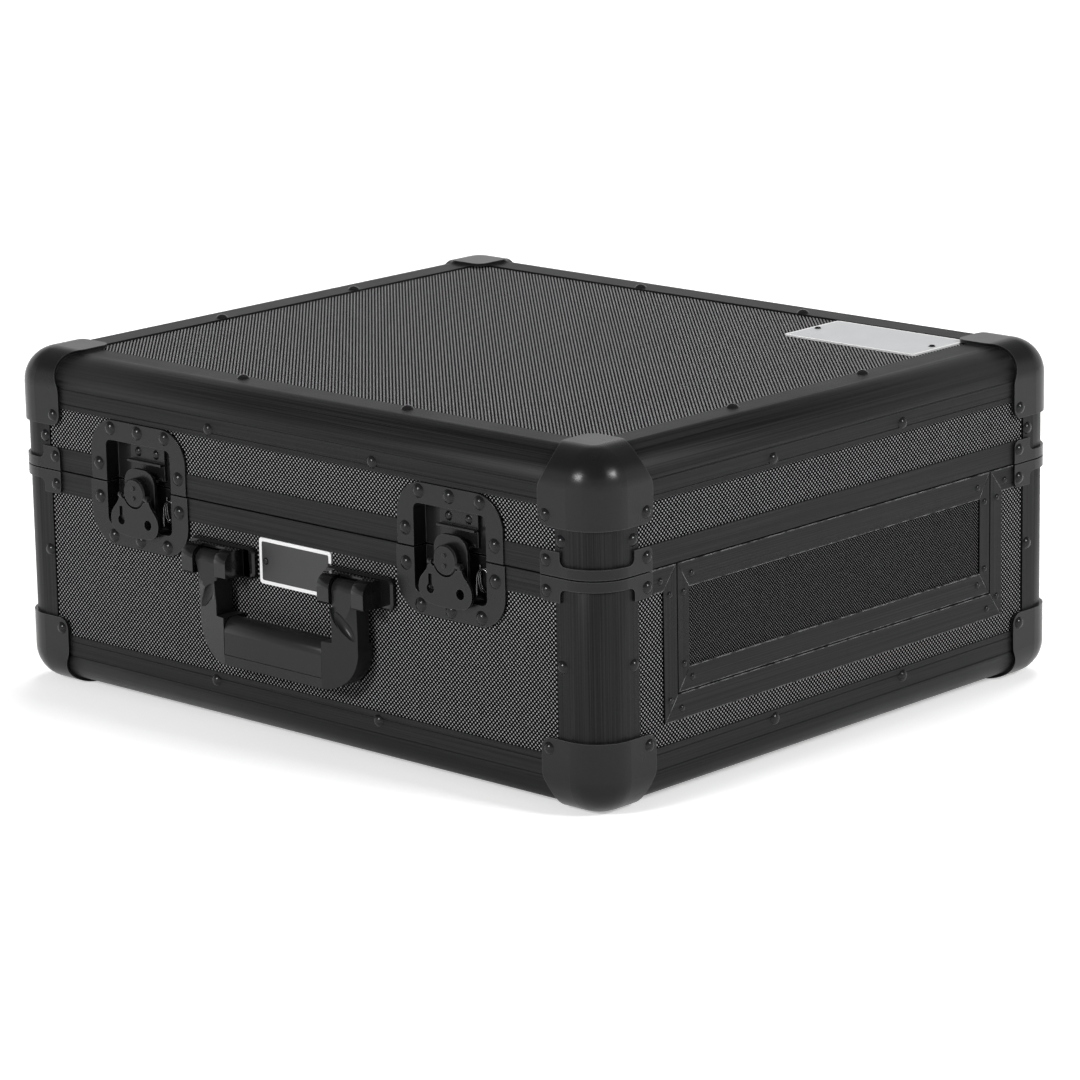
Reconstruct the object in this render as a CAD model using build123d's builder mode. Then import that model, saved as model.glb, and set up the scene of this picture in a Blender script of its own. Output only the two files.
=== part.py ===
"""Flight case for a DJ controller: a board tray and a hinged board lid in rounded edge extrusions.

Frame: +X right along the front, +Y into the depth, +Z up. The origin is the middle of the overall
box, on the floor. Lengths are millimetres.
"""

from build123d import *
import os
from math import pi, radians, sin, sqrt, tan

os.makedirs("parts", exist_ok=True)

# Overall sizes, over the flat faces of the extrusions
case_w = 480.0
case_d = 410.0
tray_h = 134.0
lid_h = 69.6
seam_gap = 0.8

# Laminated boards and the walls of the extrusions that hold them
board_t = 9.0
flange_t = 1.2

# Rounded extrusions along the top and bottom edges, and up the corners
edge_r = 19.0
edge_side_h = 31.2
edge_flat_w = 33.9
groove_w = 0.9
groove_depth = 0.4
groove_low = 3.6
groove_high = 12.6
post_r = 22.0
post_flange = 32.0

# Rim bars at the seam, with a tongue on the tray and a groove in the lid
rim_h = 13.8
tongue_w = 3.0
tongue_h = 3.0
tongue_from_face = 4.2
tongue_clear = 0.5
rim_web = 2.0
groove_web = 5.6

# Lift-out access panel in the right side, and the frame round its opening
access_margin = 64.0
access_h = 75.0
access_top_bar = 15.1
access_bottom_bar = 13.5
access_side_bar = 9.5
sill_bar = 15.0
jamb_bar = 11.0

# Ball corners and the seam braces, pressed from sheet
corner_t = 2.0
ball_reach = 43.0
ball_rise = 41.8
ball_ear_r = 7.0
scallop_r = 22.5
scallop_at = 59.8
scallop_ease = 6.0
brace_t = 1.6
brace_reach = 42.0
brace_ear = 14.5
brace_ear_h = 14.0
brace_strip = 6.0
brace_r = 4.0

# Rivets
rivet_r = 3.8
rivet_h = 2.1
dish_rivet_r = 4.3
dish_rivet_h = 2.4
small_rivet_r = 2.1
small_rivet_h = 1.3
edge_rivet_in_x = 172.5
edge_rivet_in_y = 147.0
edge_rivet_in = 25.8
flat_rivet_in = 30.0
post_rivet_in = 28.0
tray_post_rivet_drop = 51.0
lid_post_rivet_rise = 20.0
brace_rivet_in = 37.8
brace_rivet_off = 8.6
ball_rivet_in = 37.5
ball_rivet_up = 35.4

# Recessed twist latches
latch_in = 111.5
dish_w_lower = 84.0
dish_w_upper = 82.0
dish_h = 38.2
dish_r = 20.0
dish_proud = 1.0
recess_w = 56.0
recess_h = 25.4
recess_depth = 10.0
recess_r = 4.0
pan_t = 1.2
dish_rivet_side = 34.6
dish_rivet_mid = 10.2
dish_rivet_row = 33.0
dish_rivet_pitch = 23.6
keeper_w = 29.4
keeper_t = 2.0
keeper_low = 4.0
keeper_high = 24.0
keeper_lip_at = 13.4
keeper_lip_t = 1.5
keeper_rivet_x = 7.7
keeper_rivet_r = 2.8
keeper_rivet_h = 1.6
keeper_rivet_drop = 4.4
hook_w = 26.0
hook_t = 2.2
hook_top = 11.0
hook_low = 20.0
hook_r = 9.0
hook_in = 0.6
hook_lip = 0.6
hook_lip_h = 2.0
hook_clear = 0.3
hook_travel = 5.0
spindle_r = 1.8
boss_r = 9.0
boss_z = -2.8
boss_proud = 4.6
boss_pin_r = 1.5
boss_pin_h = 0.8
boss_pin_off = 3.0
run_clear = 0.05
wing_t = 1.8
wing_gap = 2.6
wing_pivot_z = -5.0
wing_pin_r = 1.0
wing_pin_reach = 12.6
wing_knuckle_r = 2.0
wing_lobe_r = 8.6
wing_lobe_x = 12.0
wing_lobe_z = -20.6
wing_foot_z = -30.0
wing_gap_boss = 0.5
wing_slot_x = -11.6
wing_slot_w = 2.8
wing_slot_top = -12.0
wing_slot_low = -20.6
wing_slot_r = 2.9
wing_hole_x = 11.6
wing_hole_r = 3.1
spring_wire = 1.2
spring_r = 4.7
spring_rise = 6.8
spring_x = 19.4
spring_z = -13.4
spring_turns = 2
spring_pitch = 1.6
spring_leg = 9.0
spring_steps = 16
spring_seat = 0.3

# Carrying handle
handle_arm_x = 56.6
handle_arm_w = 17.5
handle_arm_t = 12.0
handle_pin_z = -31.0
handle_pin_r = 2.5
handle_drop = 90.0
handle_corner_r = 24.0
handle_crown_drop = 5.0
handle_lift_in = 41.0
handle_lift_out = 61.0
handle_lift_mid_x = 52.0
handle_lift_mid_z = 52.5
scoop_w = 4.0
scoop_out = 1.4
grip_top = -62.0
grip_low = -84.0
grip_half = 40.6
grip_t = 17.0
handle_side_clear = 0.4
bracket_w = 54.0
bracket_h = 19.0
bracket_base_t = 4.0
bracket_ear_w = 9.4
bracket_ear_r = 8.2
bracket_roof_t = 1.7
bracket_round = 7.2
bracket_bevel = 1.2
bracket_roof_in = 2.0
knuckle_clear = 0.6

# Bare plates on the front and on the lid
label_w = 59.5
label_h = 27.5
label_x = 2.5
label_t = 1.0
label_drop = 14.5
label_r = 2.0
label_clear = 0.2
name_w = 100.5
name_d = 52.5
name_side_margin = 39.6
name_back_margin = 35.2
name_t = 1.0
name_r = 3.0

# Back hinges
hinge_in = 111.5
hinge_w = 62.0
hinge_leaf_h = 34.0
hinge_leaf_t = 2.0
hinge_off = 6.0
knuckle_r = 5.0
hinge_pin_r = 2.2
hinge_gap = 0.4
hinge_leaf_start = 4.6
hinge_leaf_r = 6.0
hinge_rivet_pitch = 22.0
hinge_rivet_low = 26.0

# Foam
floor_foam_t = 20.0
wall_foam_t = 10.0
lid_foam_t = 24.0
foam_clear = 0.3
foam_below_seam = 4.0
foam_edge_r = 4.0

# Places that follow from the sizes above
front_reach = grip_t / 2 + handle_arm_t / 2 + bracket_base_t - flange_t + knuckle_clear
back_reach = hinge_off + knuckle_r
y_mid = (front_reach - back_reach) / 2
x_side = case_w / 2
access_w = case_d - 2 * access_margin
latch_x = x_side - latch_in
hinge_x = x_side - hinge_in
name_x = x_side - name_side_margin - name_w / 2
name_y = case_d / 2 - name_back_margin - name_d / 2
edge_rivet_x = x_side - edge_rivet_in_x
edge_rivet_y = case_d / 2 - edge_rivet_in_y
y_front = y_mid - case_d / 2
y_back = y_mid + case_d / 2
z_base = corner_t
z_seam = z_base + tray_h
z_top = z_seam + lid_h
z_tray_rim = z_seam - seam_gap / 2
z_lid_rim = z_seam + seam_gap / 2
board_in = flange_t + board_t
wall_span = board_in + flange_t
edge_core = edge_r + 1.0
post_core = post_r + 1.0
y_dish = y_front - dish_proud
y_recess = y_dish + recess_depth
y_handle_pin = y_front + flange_t - bracket_base_t - knuckle_clear - handle_arm_t / 2
z_handle_pin = z_seam + handle_pin_z
y_hinge = y_back + hinge_off
hook_in_back = hook_in + hook_t
bar_x = x_side - edge_flat_w - 0.4
bar_y = case_d / 2 - edge_flat_w - 0.4
access_half = access_w / 2
z_sill = z_seam - access_h
middle = Plane.XZ.offset(-y_mid)


def save(builder, name):
    """Label a finished piece and write its file."""
    builder.part.label = name
    export_step(builder.part, f"parts/{name}.step")


def corner_section(radius, core, flange_a, flange_b, grooved):
    """Section of a rounded corner extrusion: corner at the origin, one flange along each axis."""
    hollow = radius - flange_t
    start = radius - sqrt(hollow**2 - (radius - core + flange_t) ** 2)
    inner = board_in - 0.3
    with BuildSketch() as section:
        with BuildLine():
            Polyline(
                (0, radius), (0, flange_b), (flange_t, flange_b), (flange_t, core), (board_in, core),
                (board_in, flange_b), (wall_span, flange_b), (wall_span, wall_span),
                (flange_a, wall_span), (flange_a, board_in), (core, board_in), (core, flange_t),
                (flange_a, flange_t), (flange_a, 0), (radius, 0),
            )
            RadiusArc((radius, 0), (0, radius), radius)
        make_face()
        with BuildLine():
            far = core - flange_t
            RadiusArc((far, start), (start, far), hollow)
            Polyline((start, far), (inner, far), (inner, inner), (far, inner), (far, start))
        make_face(mode=Mode.SUBTRACT)
        if grooved:
            for low in (groove_low, groove_high):
                with Locations((0, flange_b - low)):
                    Rectangle(2 * groove_depth, groove_w, mode=Mode.SUBTRACT)
    return section.sketch


def rim_section(flange, tongued, scale=1.0):
    """Section of a rim bar: outer face at x = 0, board below, the meeting face at y = 0."""
    web = rim_web * scale if tongued else groove_web
    with BuildSketch() as section:
        with Locations((wall_span / 2, -flange / 2)):
            Rectangle(wall_span, flange)
        with Locations((flange_t + board_t / 2, -(flange + web) / 2)):
            Rectangle(board_t, flange - web, mode=Mode.SUBTRACT)
        if tongued:
            with Locations((tongue_from_face + tongue_w / 2, tongue_h / 2)):
                Rectangle(tongue_w, tongue_h)
        else:
            depth = tongue_h + tongue_clear
            with Locations((tongue_from_face + tongue_w / 2, -depth / 2)):
                Rectangle(tongue_w + 2 * tongue_clear, depth, mode=Mode.SUBTRACT)
    return section.sketch


def run(section, origin, inward, up, length):
    """Carry a section along its own normal, centred on the origin, which lies on the outer face."""
    plane = Plane(origin=origin, x_dir=inward, z_dir=Vector(*inward).cross(Vector(*up)))
    with BuildPart() as bar:
        with BuildSketch(plane):
            add(section)
        extrude(amount=length / 2, both=True)
    return bar.part


def four_sides(section, z, up, half_x, half_y):
    """The same section along all four sides: front, back, left and right."""
    return [
        run(section, (0, y_front, z), (0, 1, 0), up, 2 * half_x),
        run(section, (0, y_back, z), (0, -1, 0), up, 2 * half_x),
        run(section, (-x_side, y_mid, z), (1, 0, 0), up, 2 * half_y),
        run(section, (x_side, y_mid, z), (-1, 0, 0), up, 2 * half_y),
    ]


def corner_places():
    """The four corners: place, direction along X and direction along Y, both pointing inwards."""
    return [
        (sx * x_side, y, -sx, sy)
        for sx in (-1, 1)
        for y, sy in ((y_front, 1), (y_back, -1))
    ]


def boards():
    """Flat boards of the tray and the lid."""
    z_low = z_base + edge_core
    z_high = z_tray_rim - rim_web
    with BuildPart() as base:
        with BuildSketch(Plane.XY.offset(z_base + flange_t)):
            with Locations((0, y_mid)):
                Rectangle(case_w - 2 * edge_core, case_d - 2 * edge_core)
        extrude(amount=board_t)
    save(base, "tray_base_panel")
    with BuildPart() as top:
        with BuildSketch(Plane.XY.offset(z_top - board_in)):
            with Locations((0, y_mid)):
                Rectangle(case_w - 2 * edge_core, case_d - 2 * edge_core)
        extrude(amount=board_t)
    save(top, "lid_top_panel")
    wall_pair("tray", z_low, z_high)
    wall_pair("lid", z_lid_rim + groove_web, z_top - edge_core)


def wall_pair(owner, z_low, z_high):
    """Front, back, left and right boards of the tray or the lid."""
    z_mid = (z_low + z_high) / 2
    cut_z = z_high if owner == "tray" else z_low
    for side, y in (("front", y_front + flange_t), ("back", y_back - board_in)):
        with BuildPart() as wall:
            with BuildSketch(Plane.XZ.offset(-y)):
                with Locations((0, z_mid)):
                    Rectangle(case_w - 2 * post_core, z_high - z_low)
                if side == "front":
                    reach = recess_h + pan_t + seam_gap / 2 - abs(z_seam - cut_z)
                    with Locations((-latch_x, cut_z), (latch_x, cut_z)):
                        Rectangle(recess_w + 2 * pan_t, 2 * reach, mode=Mode.SUBTRACT)
            extrude(amount=-board_t)
        save(wall, f"{owner}_{side}_panel")
    for side, x in (("left", -x_side + flange_t), ("right", x_side - board_in)):
        with BuildPart() as wall:
            with BuildSketch(Plane.YZ.offset(x)):
                with Locations((y_mid, z_mid)):
                    Rectangle(case_d - 2 * post_core, z_high - z_low)
                if owner == "tray" and side == "right":
                    with Locations((y_mid, z_seam)):
                        half = access_half + seam_gap / 2 + rim_web
                        drop = access_h + seam_gap / 2 + rim_web * sill_bar / jamb_bar
                        Rectangle(2 * half, 2 * drop, mode=Mode.SUBTRACT)
            extrude(amount=board_t)
        save(wall, f"{owner}_{side}_panel")


def edge_bars():
    """Rounded extrusions round the base and round the top."""
    section = corner_section(edge_r, edge_core, edge_flat_w, edge_side_h, True)
    with BuildPart() as base:
        add(four_sides(section, z_base, (0, 0, 1), bar_x, bar_y))
    save(base, "tray_base_edges")
    with BuildPart() as top:
        add(four_sides(section, z_top, (0, 0, -1), bar_x, bar_y))
    save(top, "lid_top_edges")


def corner_posts():
    """Rounded uprights at the four corners of the tray and of the lid."""
    section = corner_section(post_r, post_core, post_flange, post_flange, False)
    spans = {
        "tray_corner_posts": (z_base + edge_core, z_tray_rim),
        "lid_corner_posts": (z_lid_rim, z_top - edge_core),
    }
    for name, (z_low, z_high) in spans.items():
        with BuildPart() as posts:
            for x, y, sx, sy in corner_places():
                post = run(section, (x, y, (z_low + z_high) / 2), (sx, 0, 0), (0, sy, 0), z_high - z_low)
                add(post)
        save(posts, name)


def dish_notch(z_from, z_to, width):
    """Space for a latch dish's plate and pan, to cut right through a rim bar."""
    with BuildPart() as notch:
        for x in (-latch_x, latch_x):
            with BuildSketch(Plane.XY.offset(z_from)):
                with Locations((x, y_front)):
                    Rectangle(width, 2 * flange_t)
                    Rectangle(recess_w + 2 * pan_t, 3 * wall_span)
            extrude(amount=z_to - z_from)
    return notch.part


def rim_bars():
    """Bars along the seam: tongued on the tray, grooved under the lid."""
    reach = tongue_h + seam_gap
    tray_notch = dish_notch(z_seam - dish_h, z_seam + reach, dish_w_lower)
    lid_notch = dish_notch(z_seam - reach, z_seam + dish_h, dish_w_upper)
    front, back, left, _ = four_sides(rim_section(rim_h, True), z_tray_rim, (0, 0, 1), bar_x, bar_y)
    with BuildPart() as tray:
        add([front, back, left])
        add(tray_notch, mode=Mode.SUBTRACT)
    save(tray, "tray_rim_bars")
    with BuildPart() as lid:
        add(four_sides(rim_section(rim_h, False), z_lid_rim, (0, 0, -1), bar_x, bar_y))
        add(lid_notch, mode=Mode.SUBTRACT)
    save(lid, "lid_rim_bars")


def side_bar(section, mid, along, up, length, outline):
    """A bar in the right side, trimmed to an outline of (distance from the middle, height) points."""
    bar = run(section, (x_side, y_mid + mid[0], mid[1]), (-1, 0, 0), up, length)
    with BuildPart() as trimmed:
        add(bar)
        with BuildSketch(Plane.YZ.offset(x_side - wall_span)):
            with BuildLine():
                Polyline(*[(y_mid + a, b) for a, b in outline], close=True)
            make_face()
        extrude(amount=wall_span, mode=Mode.INTERSECT)
    return trimmed.part


def access_frame():
    """Frame round the side opening: two short rim bars, two jambs and a sill, mitred."""
    half = access_half + seam_gap / 2
    z_rim = z_tray_rim
    z_low = z_sill - seam_gap / 2
    slope = sill_bar / jamb_bar
    far = half + jamb_bar
    rise = tongue_h + 1.0
    lean = rise / (rim_h / jamb_bar)
    sill_lean = rise / slope
    with BuildPart() as rims:
        for s in (-1, 1):
            outline = [
                (s * bar_y, z_rim - rim_h), (s * far, z_rim - rim_h), (s * (half - lean), z_rim + rise),
                (s * bar_y, z_rim + rise),
            ]
            length = bar_y - half + lean
            mid = (s * (bar_y + half - lean) / 2, z_rim)
            add(side_bar(rim_section(rim_h, True), mid, s, (0, 0, 1), length, outline))
    save(rims, "tray_side_rim_bars")
    jamb_section = rim_section(jamb_bar, True)
    with BuildPart() as jambs:
        for s in (-1, 1):
            outline = [
                (s * far, z_rim - rim_h), (s * half, z_rim), (s * (half - rise), z_rim),
                (s * (half - rise), z_low + rise), (s * (half - sill_lean), z_low + rise),
                (s * far, z_low - sill_bar),
            ]
            length = z_rim - z_low + sill_bar
            mid = (s * half, z_rim - length / 2)
            add(side_bar(jamb_section, mid, s, (0, -s, 0), length, outline))
    save(jambs, "access_frame_jambs")
    outline = [
        (-far, z_low - sill_bar), (far, z_low - sill_bar), (half - sill_lean, z_low + rise),
        (sill_lean - half, z_low + rise),
    ]
    with BuildPart() as sill:
        add(side_bar(rim_section(sill_bar, True, slope), (0, z_low), 1, (0, 0, 1), 2 * far, outline))
    save(sill, "access_frame_sill")


def panel_channels():
    """Grooves down both sides and along the foot of the lift-out panel, for the frame's tongues."""
    depth = tongue_h + tongue_clear
    half = access_half - seam_gap / 2
    x_groove = x_side - tongue_from_face - tongue_w / 2
    width = tongue_w + 2 * tongue_clear
    with BuildPart() as channels:
        with BuildSketch(Plane.YZ.offset(x_groove)):
            for s in (-1, 1):
                with Locations((y_mid + s * (half - depth / 2), z_seam - access_h / 2 + tongue_h)):
                    Rectangle(depth, access_h + 2 * tongue_h)
            with Locations((y_mid, z_sill + seam_gap / 2 + depth / 2)):
                Rectangle(2 * half, depth)
        extrude(amount=width / 2, both=True)
    return channels.part


def access_panel():
    """Lift-out panel: board in a mitred frame of four bars."""
    half = access_half - seam_gap / 2
    z_high = z_tray_rim
    z_low = z_sill + seam_gap / 2
    inner = half - access_side_bar
    z_in_high = z_high - access_top_bar
    z_in_low = z_low + access_bottom_bar
    channels = panel_channels()
    rise = tongue_h + 1.0
    with BuildPart() as board:
        with BuildSketch(Plane.YZ.offset(x_side - board_in)):
            with Locations((y_mid, (z_high - rim_web + z_low + groove_web) / 2)):
                Rectangle(2 * (half - groove_web), z_high - rim_web - z_low - groove_web)
        extrude(amount=board_t)
    save(board, "access_panel_board")
    outline = [
        (-half, z_high), (-inner, z_in_high), (inner, z_in_high), (half, z_high), (half, z_high + rise),
        (-half, z_high + rise),
    ]
    with BuildPart() as top:
        add(side_bar(rim_section(access_top_bar, True), (0, z_high), 1, (0, 0, 1), 2 * half, outline))
        add(channels, mode=Mode.SUBTRACT)
    save(top, "access_panel_top_bar")
    outline = [(-half, z_low), (-inner, z_in_low), (inner, z_in_low), (half, z_low)]
    with BuildPart() as foot:
        add(side_bar(rim_section(access_bottom_bar, False), (0, z_low), 1, (0, 0, -1), 2 * half, outline))
        add(channels, mode=Mode.SUBTRACT)
    save(foot, "access_panel_bottom_bar")
    length = z_high - z_low
    with BuildPart() as sides:
        for s in (-1, 1):
            outline = [(s * half, z_low), (s * inner, z_in_low), (s * inner, z_in_high), (s * half, z_high)]
            mid = (s * half, (z_high + z_low) / 2)
            add(side_bar(rim_section(access_side_bar, False), mid, s, (0, s, 0), length, outline))
        add(channels, mode=Mode.SUBTRACT)
    save(sides, "access_panel_side_bars")


def corner_block(grow):
    """Rounded corner of the case's envelope, grown outwards, with the corner at the origin."""
    side = ball_reach + 2 * scallop_r
    with BuildPart() as block:
        with Locations((-grow, -grow, -grow)):
            Box(side, side, side, align=(Align.MIN, Align.MIN, Align.MIN))
        upright = block.edges().filter_by(Axis.Z).sort_by_distance((-grow, -grow, side / 2))[0]
        fillet(upright, post_r + grow)
        foot = block.faces().sort_by(Axis.Z)[0].edges()
        outer = [e for e in foot if e.center().X < side - 2 * grow - 1 and e.center().Y < side - 2 * grow - 1]
        fillet(outer, edge_r + grow)
    return block.part


def notch_corners():
    """Inner corners where the scallop leaves the straight side in the current sketch."""
    return [v for v in BuildSketch._get_context().vertices() if abs(v.Y) < ball_reach and v.X < ball_reach + 0.1]


def ball_corner():
    """Pressed corner cap with three eared faces, with the case's corner at the origin."""
    far = ball_reach + scallop_r
    low = -corner_t - 1.0
    with BuildPart() as cap:
        add(corner_block(corner_t))
        add(corner_block(0.0), mode=Mode.SUBTRACT)
        for plane, reach in ((Plane.XY, ball_reach), (Plane.XZ, ball_rise), (Plane.YZ, ball_rise)):
            with BuildSketch(plane):
                with BuildLine():
                    FilletPolyline(
                        (low, reach), (ball_reach, reach), (ball_reach, low), radius=ball_ear_r
                    )
                    Polyline((ball_reach, low), (low, low), (low, reach))
                make_face()
            extrude(amount=2 * far, both=True, mode=Mode.INTERSECT)
        span = ball_reach + edge_r
        for edge_dir, across in (((1, 0, 0), (0, -1, -1)), ((0, 1, 0), (-1, 0, -1))):
            with BuildSketch(Plane(origin=(0, 0, 0), x_dir=edge_dir, z_dir=across)):
                with Locations((ball_reach + span / 2, 0)):
                    Rectangle(span, 2 * span)
                with Locations((scallop_at, 0)):
                    Circle(scallop_r)
                fillet(notch_corners(), scallop_ease)
            extrude(amount=2 * span, both=True, mode=Mode.SUBTRACT)
    return cap.part


def ball_corners():
    """The same cap at all eight corners, as two nodes."""
    cap = ball_corner()
    first = Pos(-x_side, y_front, z_base) * cap
    pair = [first, mirror(first, about=Plane.YZ)]
    low = pair + [mirror(piece, about=middle) for piece in pair]
    with BuildPart() as tray:
        add(low)
    save(tray, "tray_ball_corners")
    level = Plane.XY.offset((z_base + z_top) / 2)
    with BuildPart() as lid:
        add([mirror(piece, about=level) for piece in low])
    save(lid, "lid_ball_corners")


def corner_brace():
    """Sheet brace round an upright, with an ear on each face, its straight edge at z = 0."""
    far = brace_reach
    with BuildPart() as brace:
        with BuildSketch():
            with BuildLine():
                Line((far, 0), (post_r, 0))
                RadiusArc((post_r, 0), (0, post_r), post_r)
                Line((0, post_r), (0, far))
                Line((0, far), (-brace_t, far))
                Line((-brace_t, far), (-brace_t, post_r))
                RadiusArc((-brace_t, post_r), (post_r, -brace_t), -post_r - brace_t)
                Line((post_r, -brace_t), (far, -brace_t))
                Line((far, -brace_t), (far, 0))
            make_face()
        extrude(amount=brace_ear_h)
        ears = brace.edges().group_by(Axis.Z)[-1]
        tips = ears.filter_by(Axis.Y).sort_by(Axis.X)[-1:] + ears.filter_by(Axis.X).sort_by(Axis.Y)[-1:]
        fillet(tips, brace_r)
    near = far - brace_ear
    with BuildPart() as window:
        with Locations((-2 * brace_t, -2 * brace_t, brace_strip)):
            Box(near + 2 * brace_t, near + 2 * brace_t, brace_ear_h, align=(Align.MIN,) * 3)
        low = window.edges().group_by(Axis.Z)[0]
        fillet(low.filter_by(Axis.Y).sort_by(Axis.X)[-1:] + low.filter_by(Axis.X).sort_by(Axis.Y)[-1:], brace_r)
    with BuildPart() as cut:
        add(brace.part)
        add(window.part, mode=Mode.SUBTRACT)
    return cut.part


def corner_braces():
    """Braces at the seam, above it on the lid and below it on the tray."""
    brace = corner_brace()
    first = Pos(-x_side, y_front, z_lid_rim) * brace
    pair = [first, mirror(first, about=Plane.YZ)]
    high = pair + [mirror(piece, about=middle) for piece in pair]
    with BuildPart() as lid:
        add(high)
    save(lid, "lid_corner_braces")
    with BuildPart() as tray:
        add([mirror(piece, about=Plane.XY.offset(z_seam)) for piece in high])
    save(tray, "tray_corner_braces")


def rivet(plane, radius, height):
    """Domed rivet head standing on a plane."""
    sphere_r = (radius**2 + height**2) / (2 * height)
    with BuildPart() as head:
        with BuildSketch(Plane.XZ):
            with BuildLine():
                Line((0, 0), (radius, 0))
                RadiusArc((radius, 0), (0, height), -sphere_r)
                Line((0, height), (0, 0))
            make_face()
        revolve(axis=Axis.Z)
    return plane * head.part


def facing(side):
    """Outward plane on a side of the case: a function of the place along the side and the height."""
    outward = {
        "front": ((0, -1, 0), lambda a, z, out: (a, y_front - out, z)),
        "back": ((0, 1, 0), lambda a, z, out: (a, y_back + out, z)),
        "left": ((-1, 0, 0), lambda a, z, out: (-x_side - out, y_mid + a, z)),
        "right": ((1, 0, 0), lambda a, z, out: (x_side + out, y_mid + a, z)),
    }
    normal, place = outward[side]
    return lambda a, z, out=0.0: Plane(origin=place(a, z, out), z_dir=normal)


def side_rivet_planes(owner):
    """Planes of the rivets on the four sides of the tray or the lid."""
    edge_z = z_base + edge_rivet_in if owner == "tray" else z_top - edge_rivet_in
    post_z = z_seam - tray_post_rivet_drop if owner == "tray" else z_seam + lid_post_rivet_rise
    brace_z = z_seam - brace_rivet_off if owner == "tray" else z_seam + brace_rivet_off
    ball_z = z_base + ball_rivet_up if owner == "tray" else z_top - ball_rivet_up
    planes = []
    for side in ("front", "back", "left", "right"):
        half = x_side if side in ("front", "back") else case_d / 2
        edge_at = edge_rivet_x if side in ("front", "back") else edge_rivet_y
        place = facing(side)
        for s in (-1, 1):
            planes.append(place(s * edge_at, edge_z))
            planes.append(place(s * (half - post_rivet_in), post_z))
            planes.append(place(s * (half - brace_rivet_in), brace_z, brace_t))
            planes.append(place(s * (half - ball_rivet_in), ball_z, corner_t))
    return planes


def flat_rivet_planes(owner):
    """Planes of the rivets on the underside of the tray or on the top of the lid."""
    z, out = (z_base, -1) if owner == "tray" else (z_top, 1)
    planes = []
    for s in (-1, 1):
        for t in (-1, 1):
            rows = [(s * edge_rivet_x, t * (case_d / 2 - flat_rivet_in)), (s * (x_side - flat_rivet_in), t * edge_rivet_y)]
            planes += [Plane(origin=(x, y_mid + y, z), z_dir=(0, 0, out)) for x, y in rows]
    return planes


def dish_rivet_planes(owner):
    """Planes of the five rivets in each latch dish half."""
    s = -1 if owner == "tray" else 1
    planes = []
    for x in (-latch_x, latch_x):
        places = [(x + i * dish_rivet_pitch, s * dish_rivet_row) for i in (-1, 0, 1)]
        places += [(x + i * dish_rivet_side, s * dish_rivet_mid) for i in (-1, 1)]
        planes += [facing("front")(a, z_seam + z, dish_proud) for a, z in places]
    return planes


def hinge_rivet_planes(owner):
    """Planes of the rivets in the hinge leaves."""
    s = -1 if owner == "tray" else 1
    planes = []
    for x in (-hinge_x, hinge_x):
        for i in (-1, 1):
            for drop in (hinge_rivet_low, hinge_rivet_low - hinge_rivet_pitch / 2 + 1.0):
                planes.append(facing("back")(x + i * hinge_rivet_pitch, z_seam + s * drop, hinge_leaf_t))
    return planes


def access_rivet_places():
    """Places of the small rivets beside each mitre: on the fixed frame, then on the panel."""
    half = access_half
    fixed = []
    panel = []
    for s in (-1, 1):
        fixed.append((s * (half + jamb_bar + 3.0), z_seam - rim_h / 2 - 1.0))
        fixed.append((s * (half + jamb_bar / 2 + 1.0), z_seam - rim_h - 3.4))
        fixed.append((s * (half + jamb_bar / 2 + 1.0), z_sill - 3.0))
        fixed.append((s * (half - 3.0), z_sill - sill_bar / 2 - 1.6))
        panel.append((s * (half - access_side_bar - 2.6), z_seam - access_top_bar / 2 - 0.6))
        panel.append((s * (half - access_side_bar / 2 - 0.6), z_seam - access_top_bar - 2.6))
        panel.append((s * (half - access_side_bar / 2 - 0.6), z_sill + access_bottom_bar + 2.6))
        panel.append((s * (half - access_side_bar - 2.6), z_sill + access_bottom_bar / 2 + 0.4))
    return fixed, panel


def rivets():
    """All rivets, one node for each body."""
    fixed, panel = access_rivet_places()
    side = facing("right")
    tray_planes = side_rivet_planes("tray") + hinge_rivet_planes("tray")
    with BuildPart() as tray:
        add([rivet(plane, rivet_r, rivet_h) for plane in tray_planes + flat_rivet_planes("tray")])
        add([rivet(plane, dish_rivet_r, dish_rivet_h) for plane in dish_rivet_planes("tray")])
        add([rivet(side(a, z), small_rivet_r, small_rivet_h) for a, z in fixed])
    save(tray, "tray_rivets")
    lid_planes = side_rivet_planes("lid") + hinge_rivet_planes("lid")
    with BuildPart() as lid:
        add([rivet(plane, rivet_r, rivet_h) for plane in lid_planes + flat_rivet_planes("lid")])
        add([rivet(plane, dish_rivet_r, dish_rivet_h) for plane in dish_rivet_planes("lid")])
    save(lid, "lid_rivets")
    with BuildPart() as lift:
        add([rivet(side(a, z), small_rivet_r, small_rivet_h) for a, z in panel])
    save(lift, "access_panel_rivets")


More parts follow.
